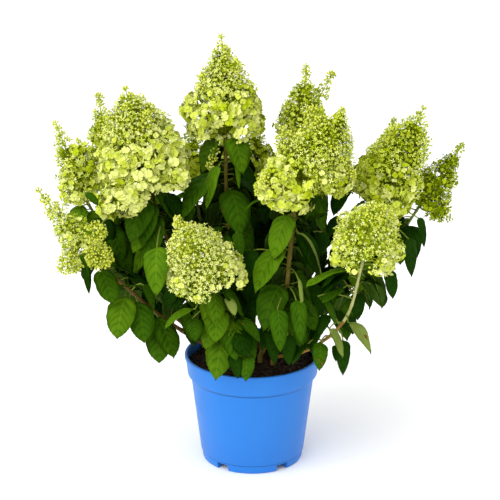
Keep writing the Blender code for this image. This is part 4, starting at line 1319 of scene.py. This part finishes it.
def spike_sprays(base, tip, radius, profile, low_share, rng):
    """Clusters in crossed pairs up a spike, and one at its tip."""
    axis = Axis(base, tip)
    found = []
    share, level = low_share, 0
    turn = rng.uniform(0, math.pi)
    while share < 0.965:
        ring = max(radius * profile_radius(profile, share) - 0.9 * SPIKE_CAP, SPIKE_LEAST_RING)
        around = max(2, 2 * round(math.pi * ring / (1.35 * SPIKE_SPACING)))
        for index in range(around):
            angle = turn + (level % 2) * math.pi / around + 2 * math.pi * index / around
            outward = axis.outward(angle + rng.uniform(-0.2, 0.2))
            stand = ring * rng.uniform(0.86, 1.10)
            at = min(share + rng.uniform(-0.15, 0.15) * SPIKE_SPACING / axis.length, 0.98)
            foot = axis.at(max(0.0, at - (0.004 + 0.5 * stand) / axis.length))
            cap = SPIKE_CAP * rng.uniform(0.85, 1.15)
            facing = unit(outward + 0.45 * axis.ahead)
            found.append(Spray(axis.at(at) + stand * outward, facing, cap, at, foot))
        share += SPIKE_SPACING / axis.length
        level += 1
    end = axis.at(0.985)
    found.append(Spray(end, axis.ahead, 0.9 * SPIKE_CAP, 0.99, end - 0.01 * axis.ahead))
    return found


def side_spikes(base, tip, radius, profile, rng):
    """Short spikes that stand out of the upper part of a bloom."""
    axis = tip - base
    ahead, side, front = bloom_axes(axis)
    turn = rng.uniform(0, 2 * math.pi)
    found = []
    for number, share in enumerate(SIDE_SPIKE_SHARES):
        angle = turn + 2 * math.pi * number / len(SIDE_SPIKE_SHARES) + rng.uniform(-0.3, 0.3)
        outward = math.cos(angle) * side + math.sin(angle) * front
        reach = radius * profile_radius(profile, share)
        foot = base + share * axis + 0.62 * reach * outward
        heading = (ahead + 0.10 * outward).normalized()
        end = foot + SIDE_SPIKE_LENGTH * rng.uniform(0.8, 1.1) * heading
        found += spike_sprays(foot, end, SIDE_SPIKE_RADIUS, CONE_PROFILE, SPIKE_START, rng)
    return found


def umbel_sprays(base, tip, radius, profile, rng):
    """Clusters over a dome, each on its own ray from the one place."""
    axis = Axis(base, tip)
    found = []
    share = UMBEL_START
    while share < 1.0:
        ring = max(radius * profile_radius(profile, share) - SPIKE_CAP, 0.0)
        around = max(1, round(2 * math.pi * ring / UMBEL_SPACING))
        turn = rng.uniform(0, 2 * math.pi)
        for index in range(around):
            outward = axis.outward(turn + 2 * math.pi * (index + rng.uniform(-0.15, 0.15)) / around)
            hub = axis.at(share) + ring * rng.uniform(0.88, 1.08) * outward
            cap = SPIKE_CAP * rng.uniform(0.9, 1.25)
            found.append(Spray(hub, unit(hub - axis.base), cap, share, axis.base))
        share += 0.85 * UMBEL_SPACING / axis.length
    return found


def under_sprays(axis, under, first_share):
    """Small sprays that close the bloom from below."""
    found = []
    count = max(3, round(3.2 * under / SPRAY_LOW))
    for index in range(count):
        outward = axis.outward(2 * math.pi * index / count)
        hub = axis.at(0.5 * first_share) + 0.45 * under * outward
        facing = unit(0.6 * outward - axis.ahead)
        found.append(Spray(hub, facing, CAP_SHARE * SPRAY_LOW * 0.6, 0.02, axis.base))
    return found


def sprays_of(plant, base, tip, radius, profile, showy, rng):
    """The sprays of a body, ring by ring up its axis."""
    air = plant.air
    axis = Axis(base, tip)
    first_share = LOWEST_RISE / axis.length
    found = []
    share = first_share
    while share < 1.0:
        reach = radius * profile_radius(profile, share)
        if reach < SPIKE_RADIUS and share > 0.5:
            found += spike_sprays(base, tip, radius, profile, share, rng)
            break
        spacing = SPRAY_LOW + (SPRAY_HIGH - SPRAY_LOW) * share
        spacing = spacing * (1 - air) + min(spacing, AIRY_SPRAY) * air
        cap = CAP_SHARE * spacing
        ring = max(reach - cap - 0.5 * floret_radius(share, showy, plant.size), 0.0)
        around = max(1, round(2 * math.pi * (ring + 0.30 * cap) / (spacing * (0.92 + 0.25 * air))))
        offset = rng.uniform(0, 2 * math.pi)
        ragged = 0.006 + 0.014 * min(1.0, 2.0 * air) if share == first_share else 0.0
        for index in range(around):
            if rng.random() < MISSING_SHARE * air:
                continue
            angle = offset + 2 * math.pi * (index + rng.uniform(-0.22, 0.22)) / around
            at = share + rng.uniform(-0.26, 0.26) * spacing / axis.length
            at = min(max(at, 0.8 * first_share), 0.995)
            outward = axis.outward(angle)
            stand = ring * rng.uniform(0.84, 1.10) if around > 2 else ring * 0.8
            size = cap * rng.uniform(0.80, 1.16)
            hub = axis.at(at) + stand * outward - rng.uniform(-0.5, 1.0) * ragged * axis.ahead
            if not in_bay(plant, hub):
                facing = unit(outward + (-0.50 + 1.5 * at) * axis.ahead)
                found.append(Spray(hub, facing, size, at, axis.at(max(0.0, at - 0.45 * stand / axis.length))))
        share += 0.84 * spacing / axis.length
    if radius > SIDE_SPIKE_LEAST:
        found += side_spikes(base, tip, radius, profile, rng)
    if air <= OPEN_AIR:
        found += under_sprays(axis, radius * profile_radius(profile, 0.0), first_share)
    return found


def add_heart(points, faces, tints, radius, foot, top, tint):
    """A little pyramid in the middle of a floret."""
    first = len(points)
    points += [(radius, 0, foot), (0, radius, foot), (-radius, 0, foot), (0, -radius, foot), (0, 0, top)]
    for corner in range(4):
        faces.append((first + corner, first + (corner + 1) % 4, first + 4))
        tints.append(tint)


def sepal_template(cup, curl, outline, heart, ruffle, notch):
    """A floret of four rounded sepals, in units of its radius, facing +Z. Tint -1 is the floret's own."""
    points, faces, tints = [], [], []
    for sepal in range(4):
        angle = 2 * math.pi * sepal / 4 + (0.14 if sepal % 2 else -0.10)
        cos, sin = math.cos(angle), math.sin(angle)
        level = 0.09 if sepal % 2 else -0.03
        first = len(points)
        for row, (out, half) in enumerate(outline):
            for place, column in enumerate((-1.0, 0.0, 1.0)):
                wave = ruffle * math.sin(2.3 * row + 2.1 * place + 1.9 * sepal)
                cut = notch if row == len(outline) - 1 and column == 0.0 else 0.0
                x, y = out - cut + 0.3 * wave * out, half * column * (1 + 0.5 * wave)
                z = level + cup * out * out + curl * (abs(column) * half) - 0.08 * (1 - abs(column)) * out
                z += wave * out
                points.append((x * cos - y * sin, x * sin + y * cos, z))
        faces += grid_faces(len(outline) - 1, 2, first)
    tints += [-1] * len(faces)
    add_heart(points, faces, tints, heart, 0.05, 0.05 + 1.6 * heart, HEARTED)
    return np.array(points), np.array(faces), np.array(tints)


def star_template(count, cup, width):
    """A small floret: narrow spread sepals round a bud, in units of its radius."""
    points, faces, tints = [], [], []
    for sepal in range(count):
        angle = 2 * math.pi * sepal / count
        first = len(points)
        corners = ((0.08, 0.0, 0.0), (0.60, -width, 0.06), (0.60, width, 0.06), (1.0, 0.0, 0.3 * cup))
        for out, half, height in corners:
            x = out * math.cos(angle) - half * math.sin(angle)
            y = out * math.sin(angle) + half * math.cos(angle)
            points.append((x, y, height + cup * out * out * 0.6))
        faces += [(first, first + 1, first + 3), (first, first + 3, first + 2)]
    tints += [-1] * len(faces)
    add_heart(points, faces, tints, 0.30, -0.02, 0.50, -1)
    return np.array(points), np.array(faces), np.array(tints)


def bud_template():
    points = [(0, 0, -1.1), (1, 0, 0), (0, 1, 0), (-1, 0, 0), (0, -1, 0), (0, 0, 1.2)]
    faces = []
    for corner in range(4):
        here, following = 1 + corner, 1 + (corner + 1) % 4
        faces += [(0, following, here), (here, following, 5)]
    return np.array(points, float), np.array(faces), np.full(8, -1)


LARGE = [
    sepal_template(cup, curl, LARGE_SEPAL, 0.10, ruffle, 0.05)
    for cup, curl, ruffle in ((0.12, 0.12, 0.10), (0.34, 0.20, 0.13), (-0.10, 0.05, 0.12))
]
MEDIUM = [
    sepal_template(cup, curl, MEDIUM_SEPAL, 0.16, 0.08, 0.0)
    for cup, curl in ((0.15, 0.10), (0.45, 0.15), (-0.05, 0.05))
]
SMALL = [star_template(4, 0.20, 0.27), star_template(4, 0.70, 0.27), star_template(5, 0.40, 0.24)]
BUD = bud_template()


def floret_radius(share, showy, scale):
    """Radius of the florets at a share of the bloom's height: large below, then smaller and smaller."""
    small = SMALL_RADIUS * (1.05 - 0.35 * share)
    if showy < 0.1:
        return small
    fade = min(1.0, max(0.0, (share - 0.60 * showy) / (0.80 * showy)))
    keep = (1 - fade) ** 1.3
    return scale * LARGE_RADIUS * (1.05 - 0.15 * share) * keep + small * (1 - keep)


def cap_directions(count, widest, rng):
    """Directions spread evenly over a cap about +Z."""
    turn = rng.uniform(0, 2 * math.pi)
    found = []
    for index in range(count):
        height = 1 - (1 - math.cos(widest)) * (index + 0.5) / count
        level = math.sqrt(max(0.0, 1 - height * height))
        angle = turn + index * GOLDEN_ANGLE
        found.append((level * math.cos(angle), level * math.sin(angle), height))
    return np.array(found)


def tint_of(share, size, pale, inner, rng):
    """Sepal colour from PALE to OLIVE: darker up the bloom, and darkest inside it, where the darker tints are
    painted shade.
    """
    tone = pale + (0.02 if size > 0.006 else 0.08) - 0.14 * share + rng.uniform(-0.36, 0.36)
    steps = SHADED_INNER_TONES if inner else OUTER_TONES
    return next((tint for least, tint in steps if tone > least), OLIVE)


def build_blooms():
    plants = {plant.name: plant for plant in SHOOTS}
    for group, names in BLOOM_GROUPS.items():
        growth = Growth(
            Batch("large_florets_" + group, FLORET_MATERIALS),
            Batch("small_florets_" + group, FLORET_MATERIALS),
            Batch("buds_" + group, BUD_MATERIALS),
            Batch("bloom_twigs_" + group, [STALK_LIME]),
        )
        for name in names:
            dress_bloom(plants[name], growth)
        growth.small.build("blossom", ["bloom_" + name for name in names])
        for batch in (growth.large, growth.buds, growth.twigs):
            batch.build("blossom")


def dress_bloom(plant, growth):
    """The rachis and, for each body of the bloom, a branch to it and its sprays."""
    rng = random.Random("florets " + plant.name)
    neck, tip = Vector(plant.neck), Vector(plant.tip)
    joint = neck.lerp(tip, BRANCH_START)
    growth.twigs.add_tube(even_points([neck, tip], 16), (RACHIS_RADIUS, RACHIS_TIP_RADIUS), 7)
    for number, (base, end, radius, profile) in enumerate(bloom_bodies(plant)):
        if number:
            growth.twigs.add_tube(even_points([joint, base], 6), BRANCH_RADII, 6)
        if number and radius < SHOWY_LOBE:
            showy = 0.0
            if plant.name in SPIKE_SHARES:
                growth.twigs.add_tube(even_points([base, end], 6), SPIKE_RADII, 6)
                thin = SPIKE_SHARES[plant.name] * radius
                sprays = spike_sprays(base, end, thin, CONE_PROFILE, SPIKE_START, rng)
            else:
                sprays = umbel_sprays(base, end, radius, profile, rng)
        elif number:
            showy = LOBE_SHOWY if radius > LARGE_LOBE else SMALL_LOBE_SHOWY
            sprays = sprays_of(plant, base, end, radius, profile, showy, rng)
            sprays = [spray._replace(share=LOBE_SHARE * spray.share) for spray in sprays]
        else:
            showy = plant.showy
            sprays = sprays_of(plant, base, end, radius, profile, showy, rng)
        dress_sprays(plant, sprays, showy, growth, rng)


def dress_sprays(plant, sprays, showy, growth, rng):
    """Florets, buds and stalks of the sprays: a floret's size says whether it is large, medium or small."""
    florets, stalks = [], []
    for spray in sprays:
        dress_spray(plant, spray, showy, florets, stalks, rng)
    outer = len(florets)
    for spray in sprays:
        if spray.cap >= SPIKE_LIMIT:
            fill_spray(plant, spray, showy, florets, rng)
    places, facings, sizes, tints, budded = [np.array(column) for column in zip(*florets)]
    turns = turns_facing(facings, np.array([rng.uniform(0, SPIN) for _ in sizes]))
    kinds = np.array([rng.randrange(3) for _ in sizes])
    big = sizes >= LARGE_LEAST
    middle = ~big & (sizes >= MEDIUM_LEAST)
    little = ~big & ~middle
    of_size = ((growth.large, LARGE, big), (growth.small, MEDIUM, middle), (growth.small, SMALL, little))
    for kind in range(3):
        for batch, templates, mask in of_size:
            chosen = mask & ~budded & (kinds == kind)
            batch.add_copies(templates[kind], places[chosen], turns[chosen], sizes[chosen], tints[chosen])
    bud_sizes = BUD_RADIUS * np.array([rng.uniform(0.8, 1.2) for _ in sizes])
    bud_tints = (tints > LIME).astype(int)
    growth.buds.add_copies(BUD, places[budded], turns[budded], bud_sizes[budded], bud_tints[budded])
    pearls = np.flatnonzero(~big[:outer] & ~budded[:outer])[::PEARL_STEPS.get(plant.name, outer)]
    pearl_places = places[pearls] + PEARL_LIFT * unit(facings[pearls])
    pearl_sizes, pearl_tints = np.full(len(pearls), PEARL_RADIUS), np.full(len(pearls), PEARL)
    growth.buds.add_copies(BUD, pearl_places, turns[pearls], pearl_sizes, pearl_tints)
    starts, ends, thick = [np.array(column) for column in zip(*stalks)]
    growth.twigs.add(*straight_stalks(starts, ends, thick, STALK_TAPER * thick))


def dress_spray(plant, spray, showy, florets, stalks, rng):
    """Florets of a spray, as place, facing, size, tint and whether it is a bud, and its stalks."""
    hub, facing, cap, share, foot = spray
    spike = cap < SPIKE_LIMIT
    size = SPIKE_FLORET if spike else floret_radius(share, showy, plant.size)
    large = size > SHOWY_FLORET
    kind = SHOWY_SPRAY if large else SPIKE_SPRAY if spike else SMALL_SPRAY
    opening = math.radians(kind.opening)
    area = 2 * math.pi * cap * cap * (1 - math.cos(opening))
    crowding = kind.crowding * (1 - AIR_THINNING * plant.air)
    count = SPIKE_COUNT if spike else max(5, round(crowding * area / (kind.room * size * size)))
    turn = turns_facing(facing[None], np.array([rng.uniform(0, SPIN)]))[0]
    spread = cap_directions(count, opening, rng) @ turn.T
    pale = plant.pale + (rng.uniform(-0.20, 0.20) + (0.10 if spike else 0.0))
    bud_share = SPIKE_BUDS if spike else LOWEST_BUDS + BUDS_RISE * share ** 2
    heart = hub - 0.75 * cap * facing
    stalks.append((foot, heart, SPIKE_STALK if spike else SPRAY_STALK))
    for direction in spread:
        place = hub + cap * rng.uniform(0.72, 1.10) * direction
        stray = np.array([rng.gauss(0, kind.stray) for _ in range(3)])
        floret_size = size * rng.uniform(kind.least, kind.most)
        tint = tint_of(share, size, pale, False, rng)
        florets.append((place, direction + stray, floret_size, tint, not large and rng.random() < bud_share))
        if not large:
            stalks.append((heart, place - 0.0006 * direction, FLORET_STALK))


def fill_spray(plant, spray, showy, florets, rng):
    """Florets between a spray and the rachis, in darker tints that are painted shade."""
    hub, facing, cap, share, foot = spray
    filling = 2 if floret_radius(share, showy, plant.size) > SHOWY_FLORET else 5
    for _ in range(1 if plant.air > AIRY else filling):
        depth = rng.uniform(0.40, 0.74)
        place = foot + (hub - foot) * depth + np.array([rng.gauss(0, 0.4 * cap) for _ in range(3)])
        turned = facing + np.array([rng.gauss(0, 0.5) for _ in range(3)])
        size = INNER_FLORET * rng.uniform(0.9, 1.1)
        florets.append((place, turned, size, tint_of(share, INNER_FLORET, plant.pale, True, rng), False))


# Pot
def pot_profile():
    inner_top = RIM_RADIUS - 2 * WALL
    floor = RING_HEIGHT + WALL
    top = POT_HEIGHT
    lip_low = POT_HEIGHT - LIP_DEPTH
    return (
        (0.0, floor),
        (WALL_FOOT_RADIUS - WALL, floor),
        (WALL_TOP_RADIUS - WALL, WALL_TOP_HEIGHT),
        (BAND_FOOT_RADIUS - WALL, BAND_FOOT_HEIGHT),
        (inner_top, top - 0.0012),
        (inner_top + 0.0005, top - 0.0003),
        (inner_top + 0.0012, top),
        (RIM_RADIUS - LIP_ROUND, top),
        (RIM_RADIUS - 0.30 * LIP_ROUND, top - 0.30 * LIP_ROUND),
        (RIM_RADIUS, top - LIP_ROUND),
        (RIM_RADIUS, lip_low + LIP_STEP),
        (RIM_RADIUS - 0.3 * LIP_STEP, lip_low + 0.3 * LIP_STEP),
        (RIM_RADIUS - LIP_STEP, lip_low),
        (BAND_RADIUS + 0.0003, lip_low),
        (BAND_RADIUS, lip_low - 0.0003),
        (BAND_FOOT_RADIUS + 0.0001, BAND_FOOT_HEIGHT + 0.0012),
        (BAND_FOOT_RADIUS - 0.0002, BAND_FOOT_HEIGHT + 0.0003),
        (BAND_FOOT_RADIUS - 0.0010, BAND_FOOT_HEIGHT - 0.0008),
        (WALL_TOP_RADIUS + 0.0026, CREASE_HIGH),
        (WALL_TOP_RADIUS + 0.0006, WALL_TOP_HEIGHT + 0.0008),
        (WALL_TOP_RADIUS, WALL_TOP_HEIGHT - 0.0002),
        (WALL_TOP_RADIUS - 0.0003, WALL_TOP_HEIGHT - 0.0030),
        (WALL_FOOT_RADIUS, RING_HEIGHT + RING_STEP),
        (WALL_FOOT_RADIUS - 0.0005, RING_HEIGHT + 0.3 * RING_STEP),
        (RING_RADIUS, RING_HEIGHT),
        (RING_RADIUS - 0.0003, RING_HEIGHT - RING_CREASE),
        (BASE_RADIUS, RING_ROUND),
        (BASE_RADIUS - 0.3 * RING_ROUND, 0.3 * RING_ROUND),
        (BASE_RADIUS - RING_ROUND, 0.0),
        (BASE_RADIUS - RING_WIDTH, 0.0),
        (BASE_RADIUS - RING_WIDTH, RING_HEIGHT),
        (0.0, RING_HEIGHT),
    )


def notch_cutter(index):
    """A box across the foot ring, which cuts one of its notches."""
    angle = 2 * math.pi * (index + 0.5) / FOOT_COUNT
    middle = BASE_RADIUS - RING_WIDTH / 2
    bpy.ops.mesh.primitive_cube_add(size=1)
    cutter = bpy.context.object
    cutter.scale = (NOTCH_WIDTH, 3 * RING_WIDTH, 2 * NOTCH_HEIGHT)
    cutter.location = (middle * math.sin(angle), -middle * math.cos(angle), 0)
    cutter.rotation_euler = (0, 0, angle)
    return cutter


def build_pot():
    profile = pot_profile()
    mesh = bpy.data.meshes.new("pot_shell")
    mesh.from_pydata([(r, 0.0, z) for r, z in profile], [(k, k + 1) for k in range(len(profile) - 1)], [])
    pot = add_object("pot_shell", mesh)
    screw = pot.modifiers.new("turn", "SCREW")
    screw.steps = screw.render_steps = POT_STEPS
    screw.use_merge_vertices = True
    screw.merge_threshold = 0.00005
    cutters = [notch_cutter(index) for index in range(FOOT_COUNT)]
    for cutter in cutters:
        cut = pot.modifiers.new("notch", "BOOLEAN")
        cut.operation = "DIFFERENCE"
        cut.solver = "EXACT"
        cut.object = cutter
    bpy.context.view_layer.update()
    shaped = bpy.data.meshes.new_from_object(pot.evaluated_get(bpy.context.evaluated_depsgraph_get()))
    pot.modifiers.clear()
    pot.data = shaped
    for cutter in cutters:
        bpy.data.objects.remove(cutter)
    shaped.transform(Matrix.Translation(SHIFT))
    shaped.shade_smooth()
    shaped.set_sharp_from_angle(angle=math.radians(SHARP_ANGLE))
    shaped.materials.clear()
    for material in POT_MATERIALS:
        shaped.materials.append(material)
    # Faces in the crease under the band and above the foot ring take the darker pot material: painted shade
    for face in shaped.polygons:
        height = face.center.z
        outside = math.hypot(face.center.x - AXIS_X, face.center.y - AXIS_Y) > RING_RADIUS - 0.001
        in_ring_crease_shade = RING_HEIGHT - RING_CREASE < height < RING_HEIGHT + 0.4 * RING_STEP
        in_band_crease_shade = WALL_TOP_HEIGHT < height < CREASE_HIGH and face.normal.z < 0
        if outside and (in_band_crease_shade or in_ring_crease_shade):
            face.material_index = 1
    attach(pot, "root")
    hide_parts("pot")


# Soil
def soil_drop(radius):
    """How far the soil lies below its middle, towards the wall."""
    return SOIL_EDGE_DROP * max(0.0, (radius - SOIL_FLAT_RADIUS) / (SOIL_EDGE_RADIUS - SOIL_FLAT_RADIUS))


def soil_ground(rng):
    """Points and triangles of the filling: a rough top, then rings down the wall."""
    points = [(0.0, 0.0, SOIL_HEIGHT)]
    angles = [2 * math.pi * side / SOIL_SIDES for side in range(SOIL_SIDES)]
    for ring in range(1, SOIL_RINGS + 1):
        radius = SOIL_EDGE_RADIUS * ring / SOIL_RINGS
        for angle in angles:
            x, y = radius * math.cos(angle), radius * math.sin(angle)
            rough = 0.0012 * math.sin(240 * x + 1.1) * math.sin(210 * y) + rng.uniform(-0.0008, 0.0008)
            points.append((x, y, SOIL_HEIGHT + rough - soil_drop(radius)))
    walls = (
        (BAND_FOOT_RADIUS - WALL - GAP, BAND_FOOT_HEIGHT),
        (WALL_TOP_RADIUS - WALL - GAP, WALL_TOP_HEIGHT),
        (WALL_FOOT_RADIUS - WALL - GAP, RING_HEIGHT + WALL + GAP),
    )
    for radius, height in walls:
        points += [(radius * math.cos(angle), radius * math.sin(angle), height) for angle in angles]
    points.append((0.0, 0.0, RING_HEIGHT + WALL + GAP))
    faces = []
    levels = SOIL_RINGS + len(walls)
    last = 1 + (levels - 1) * SOIL_SIDES
    for side in range(SOIL_SIDES):
        following = (side + 1) % SOIL_SIDES
        faces.append((0, 1 + side, 1 + following))
        for ring in range(levels - 1):
            here, there = 1 + ring * SOIL_SIDES + side, 1 + ring * SOIL_SIDES + following
            faces += [(here, here + SOIL_SIDES, there + SOIL_SIDES), (here, there + SOIL_SIDES, there)]
        faces.append((last + side, len(points) - 1, last + following))
    return points, faces


def chip(rng):
    """Corners of one rough chip that lies on the soil."""
    radius = CHIP_REACH * math.sqrt(rng.random())
    angle = rng.uniform(0, 2 * math.pi)
    size = rng.uniform(CHIP_LEAST, CHIP_MOST)
    stretch = np.array([size * rng.uniform(*span) for span in CHIP_STRETCHES])
    corners = BOX_CORNERS * stretch * np.array([[rng.uniform(0.6, 1.15) for _ in range(3)] for _ in range(8)])
    lean = (rng.gauss(0, 0.35), rng.gauss(0, 0.35), 1.0)
    turn = turns_facing(np.array([lean]), np.array([rng.uniform(0, SPIN)]))[0]
    height = SOIL_HEIGHT - soil_drop(radius) + rng.uniform(0, CHIP_RISE)
    return corners @ turn.T + np.array((radius * math.cos(angle), radius * math.sin(angle), height))


def build_soil():
    rng = random.Random(SOIL_SEED)
    ground = Batch("soil_ground", [SOIL_HUMUS])
    ground.add(*soil_ground(rng))
    ground.build("soil", ("soil",))
    chips = Batch("soil_bark_chips", [SOIL_BARK, SOIL_HUMUS])
    for _ in range(CHIP_COUNT):
        chips.add(chip(rng), BOX_FACES, 0 if rng.random() < BARK_SHARE else 1)
    obj = chips.build("soil")
    obj.data.polygons.foreach_set("use_smooth", np.zeros(len(obj.data.polygons), bool))


# Camera, floor and light
def place_camera():
    camera = add_object("camera", bpy.data.cameras.new("camera"))
    camera.data.lens = LENS
    camera.data.sensor_width = 36.0
    camera.data.clip_end = 50.0
    ahead = Vector((0.0, math.cos(PITCH), -math.sin(PITCH)))
    camera.location = AIM + SHIFT - DISTANCE * ahead
    camera.rotation_euler = (math.pi / 2 - PITCH, 0.0, 0.0)
    bpy.context.scene.camera = camera


def place_stage():
    mesh = bpy.data.meshes.new("floor")
    corners = [(x * FLOOR_REACH, y * FLOOR_REACH, 0) for x, y in ((-1, -1), (1, -1), (1, 1), (-1, 1))]
    mesh.from_pydata(corners, [], [(0, 1, 2, 3)])
    floor = add_object("floor", mesh)
    floor.location.z = -FLOOR_DROP
    material, tree, shader = new_material("floor_white", 0.9, 0.2)
    shader.inputs["Base Color"].default_value = (*WHITE, 1.0)
    mesh.materials.append(material)
    world = bpy.data.worlds.new("studio")
    world.use_nodes = True
    background = world.node_tree.nodes["Background"]
    background.inputs["Color"].default_value = (*WHITE, 1.0)
    background.inputs["Strength"].default_value = WORLD_STRENGTH
    bpy.context.scene.world = world
    bpy.context.scene.view_settings.view_transform = "Standard"
    sun = add_object("key", bpy.data.lights.new("key", "SUN"))
    sun.data.energy = SUN_STRENGTH
    sun.data.angle = math.radians(SUN_ANGLE)
    sun.location = SUN_PLACE
    sun.rotation_euler = (-Vector(SUN_PLACE)).to_track_quat("-Z", "Y").to_euler()


def main():
    place_camera()
    place_stage()
    build_pot()
    build_soil()
    lines = {plant.name: split_way(plant) for plant in SHOOTS}
    build_stems(lines)
    build_leaves(lines)
    build_blooms()


main()
